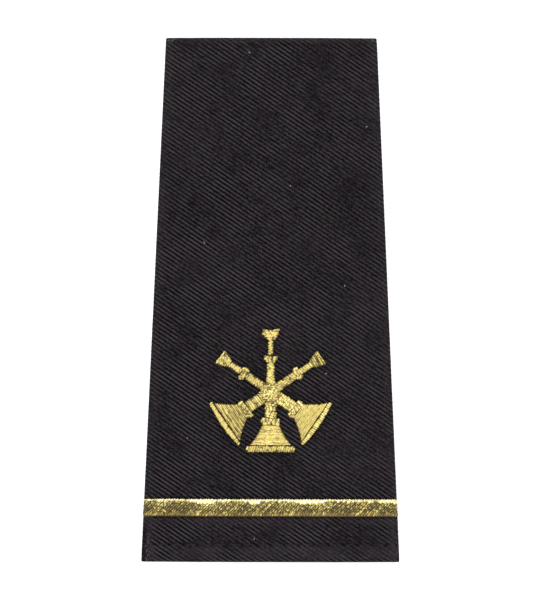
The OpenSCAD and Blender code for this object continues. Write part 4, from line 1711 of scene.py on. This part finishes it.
class BOARD_OT_seams(bpy.types.Operator):
    """Sew the hem's row, the side seams and the bar tacks"""

    bl_idname = "board.seams"
    bl_label = "Seams"

    def execute(self, context):
        sleeve, finish = Sleeve(context.scene.sleeve_sizes), context.scene.twill_finish
        thread = plain_thread("seam_thread", finish.seam_thread)
        make_hem_stitches(sleeve, thread)
        make_side_stitches(sleeve, thread)
        make_bar_tacks(sleeve, plain_thread("pale_thread", finish.tack_thread, 0.7, 0.35))
        return {"FINISHED"}


class BOARD_OT_rank_stripe(bpy.types.Operator):
    """Stitch the gold stripe from side fold to side fold"""

    bl_idname = "board.rank_stripe"
    bl_label = "Stripe"

    def execute(self, context):
        gold = context.scene.gold_stitching
        make_stripe(Sleeve(context.scene.sleeve_sizes), gold, gold_thread("stripe_gold", gold))
        return {"FINISHED"}


class BOARD_OT_bugles(bpy.types.Operator):
    """Stitch the three crossed bugles and the knot over their crossing"""

    bl_idname = "board.bugles"
    bl_label = "Bugles"

    def execute(self, context):
        sleeve, gold = Sleeve(context.scene.sleeve_sizes), context.scene.gold_stitching
        thread = gold_thread("bugle_gold", gold)
        for bugle in BUGLES:
            for name in FIELD_NAMES:
                make_field(sleeve, gold, thread, bugle, name)
        make_knot(sleeve, gold, thread)
        return {"FINISHED"}


class BOARD_OT_lint(bpy.types.Operator):
    """Strew a few specks of lint over the twill"""

    bl_idname = "board.lint"
    bl_label = "Lint"

    def execute(self, context):
        fibre = plain_thread("lint_fibre", context.scene.twill_finish.lint, 0.9)
        make_lint(Sleeve(context.scene.sleeve_sizes), fibre)
        return {"FINISHED"}


class BOARD_OT_stage(bpy.types.Operator):
    """Set up the pale floor, the soft lights and the camera straight above"""

    bl_idname = "board.stage"
    bl_label = "Stage"

    def execute(self, context):
        studio = context.scene.studio_setup
        make_floor()
        make_sky(studio.sky)
        make_light("key_light", KEY_PLACE, KEY_SIZE, studio.key_power)
        make_light("fill_light", FILL_PLACE, FILL_SIZE, studio.fill_power)
        make_camera(studio)
        context.scene.view_settings.view_transform = "Standard"
        return {"FINISHED"}


STEPS = (BOARD_OT_stage, BOARD_OT_front_cloth, BOARD_OT_back_cloth, BOARD_OT_seams,
         BOARD_OT_rank_stripe, BOARD_OT_bugles, BOARD_OT_lint)
GROUPS = {"sleeve_sizes": SleeveSizes, "twill_finish": TwillFinish,
          "gold_stitching": GoldStitching, "studio_setup": StudioSetup}


class BOARD_PT_steps(bpy.types.Panel):
    """The board's pieces, in the order in which they are made"""

    bl_label = "Shoulder board"
    bl_idname = "BOARD_PT_steps"
    bl_space_type = "VIEW_3D"
    bl_region_type = "UI"
    bl_category = "Shoulder board"

    def draw(self, context):
        for step in STEPS:
            self.layout.operator(step.bl_idname)
        for name, group in GROUPS.items():
            box = self.layout.box()
            for setting in group.__annotations__:
                box.prop(getattr(context.scene, name), setting)


CLASSES = (*GROUPS.values(), *STEPS, BOARD_PT_steps)


def register():
    for made in CLASSES:
        bpy.utils.register_class(made)
    for name, group in GROUPS.items():
        setattr(bpy.types.Scene, name, bpy.props.PointerProperty(type=group))


def unregister():
    for name in GROUPS:
        delattr(bpy.types.Scene, name)
    for made in reversed(CLASSES):
        bpy.utils.unregister_class(made)


def main():
    """Makes every piece."""
    register()
    for step in STEPS:
        group, name = step.bl_idname.split(".")
        getattr(getattr(bpy.ops, group), name)()


if __name__ == "__main__":
    main()
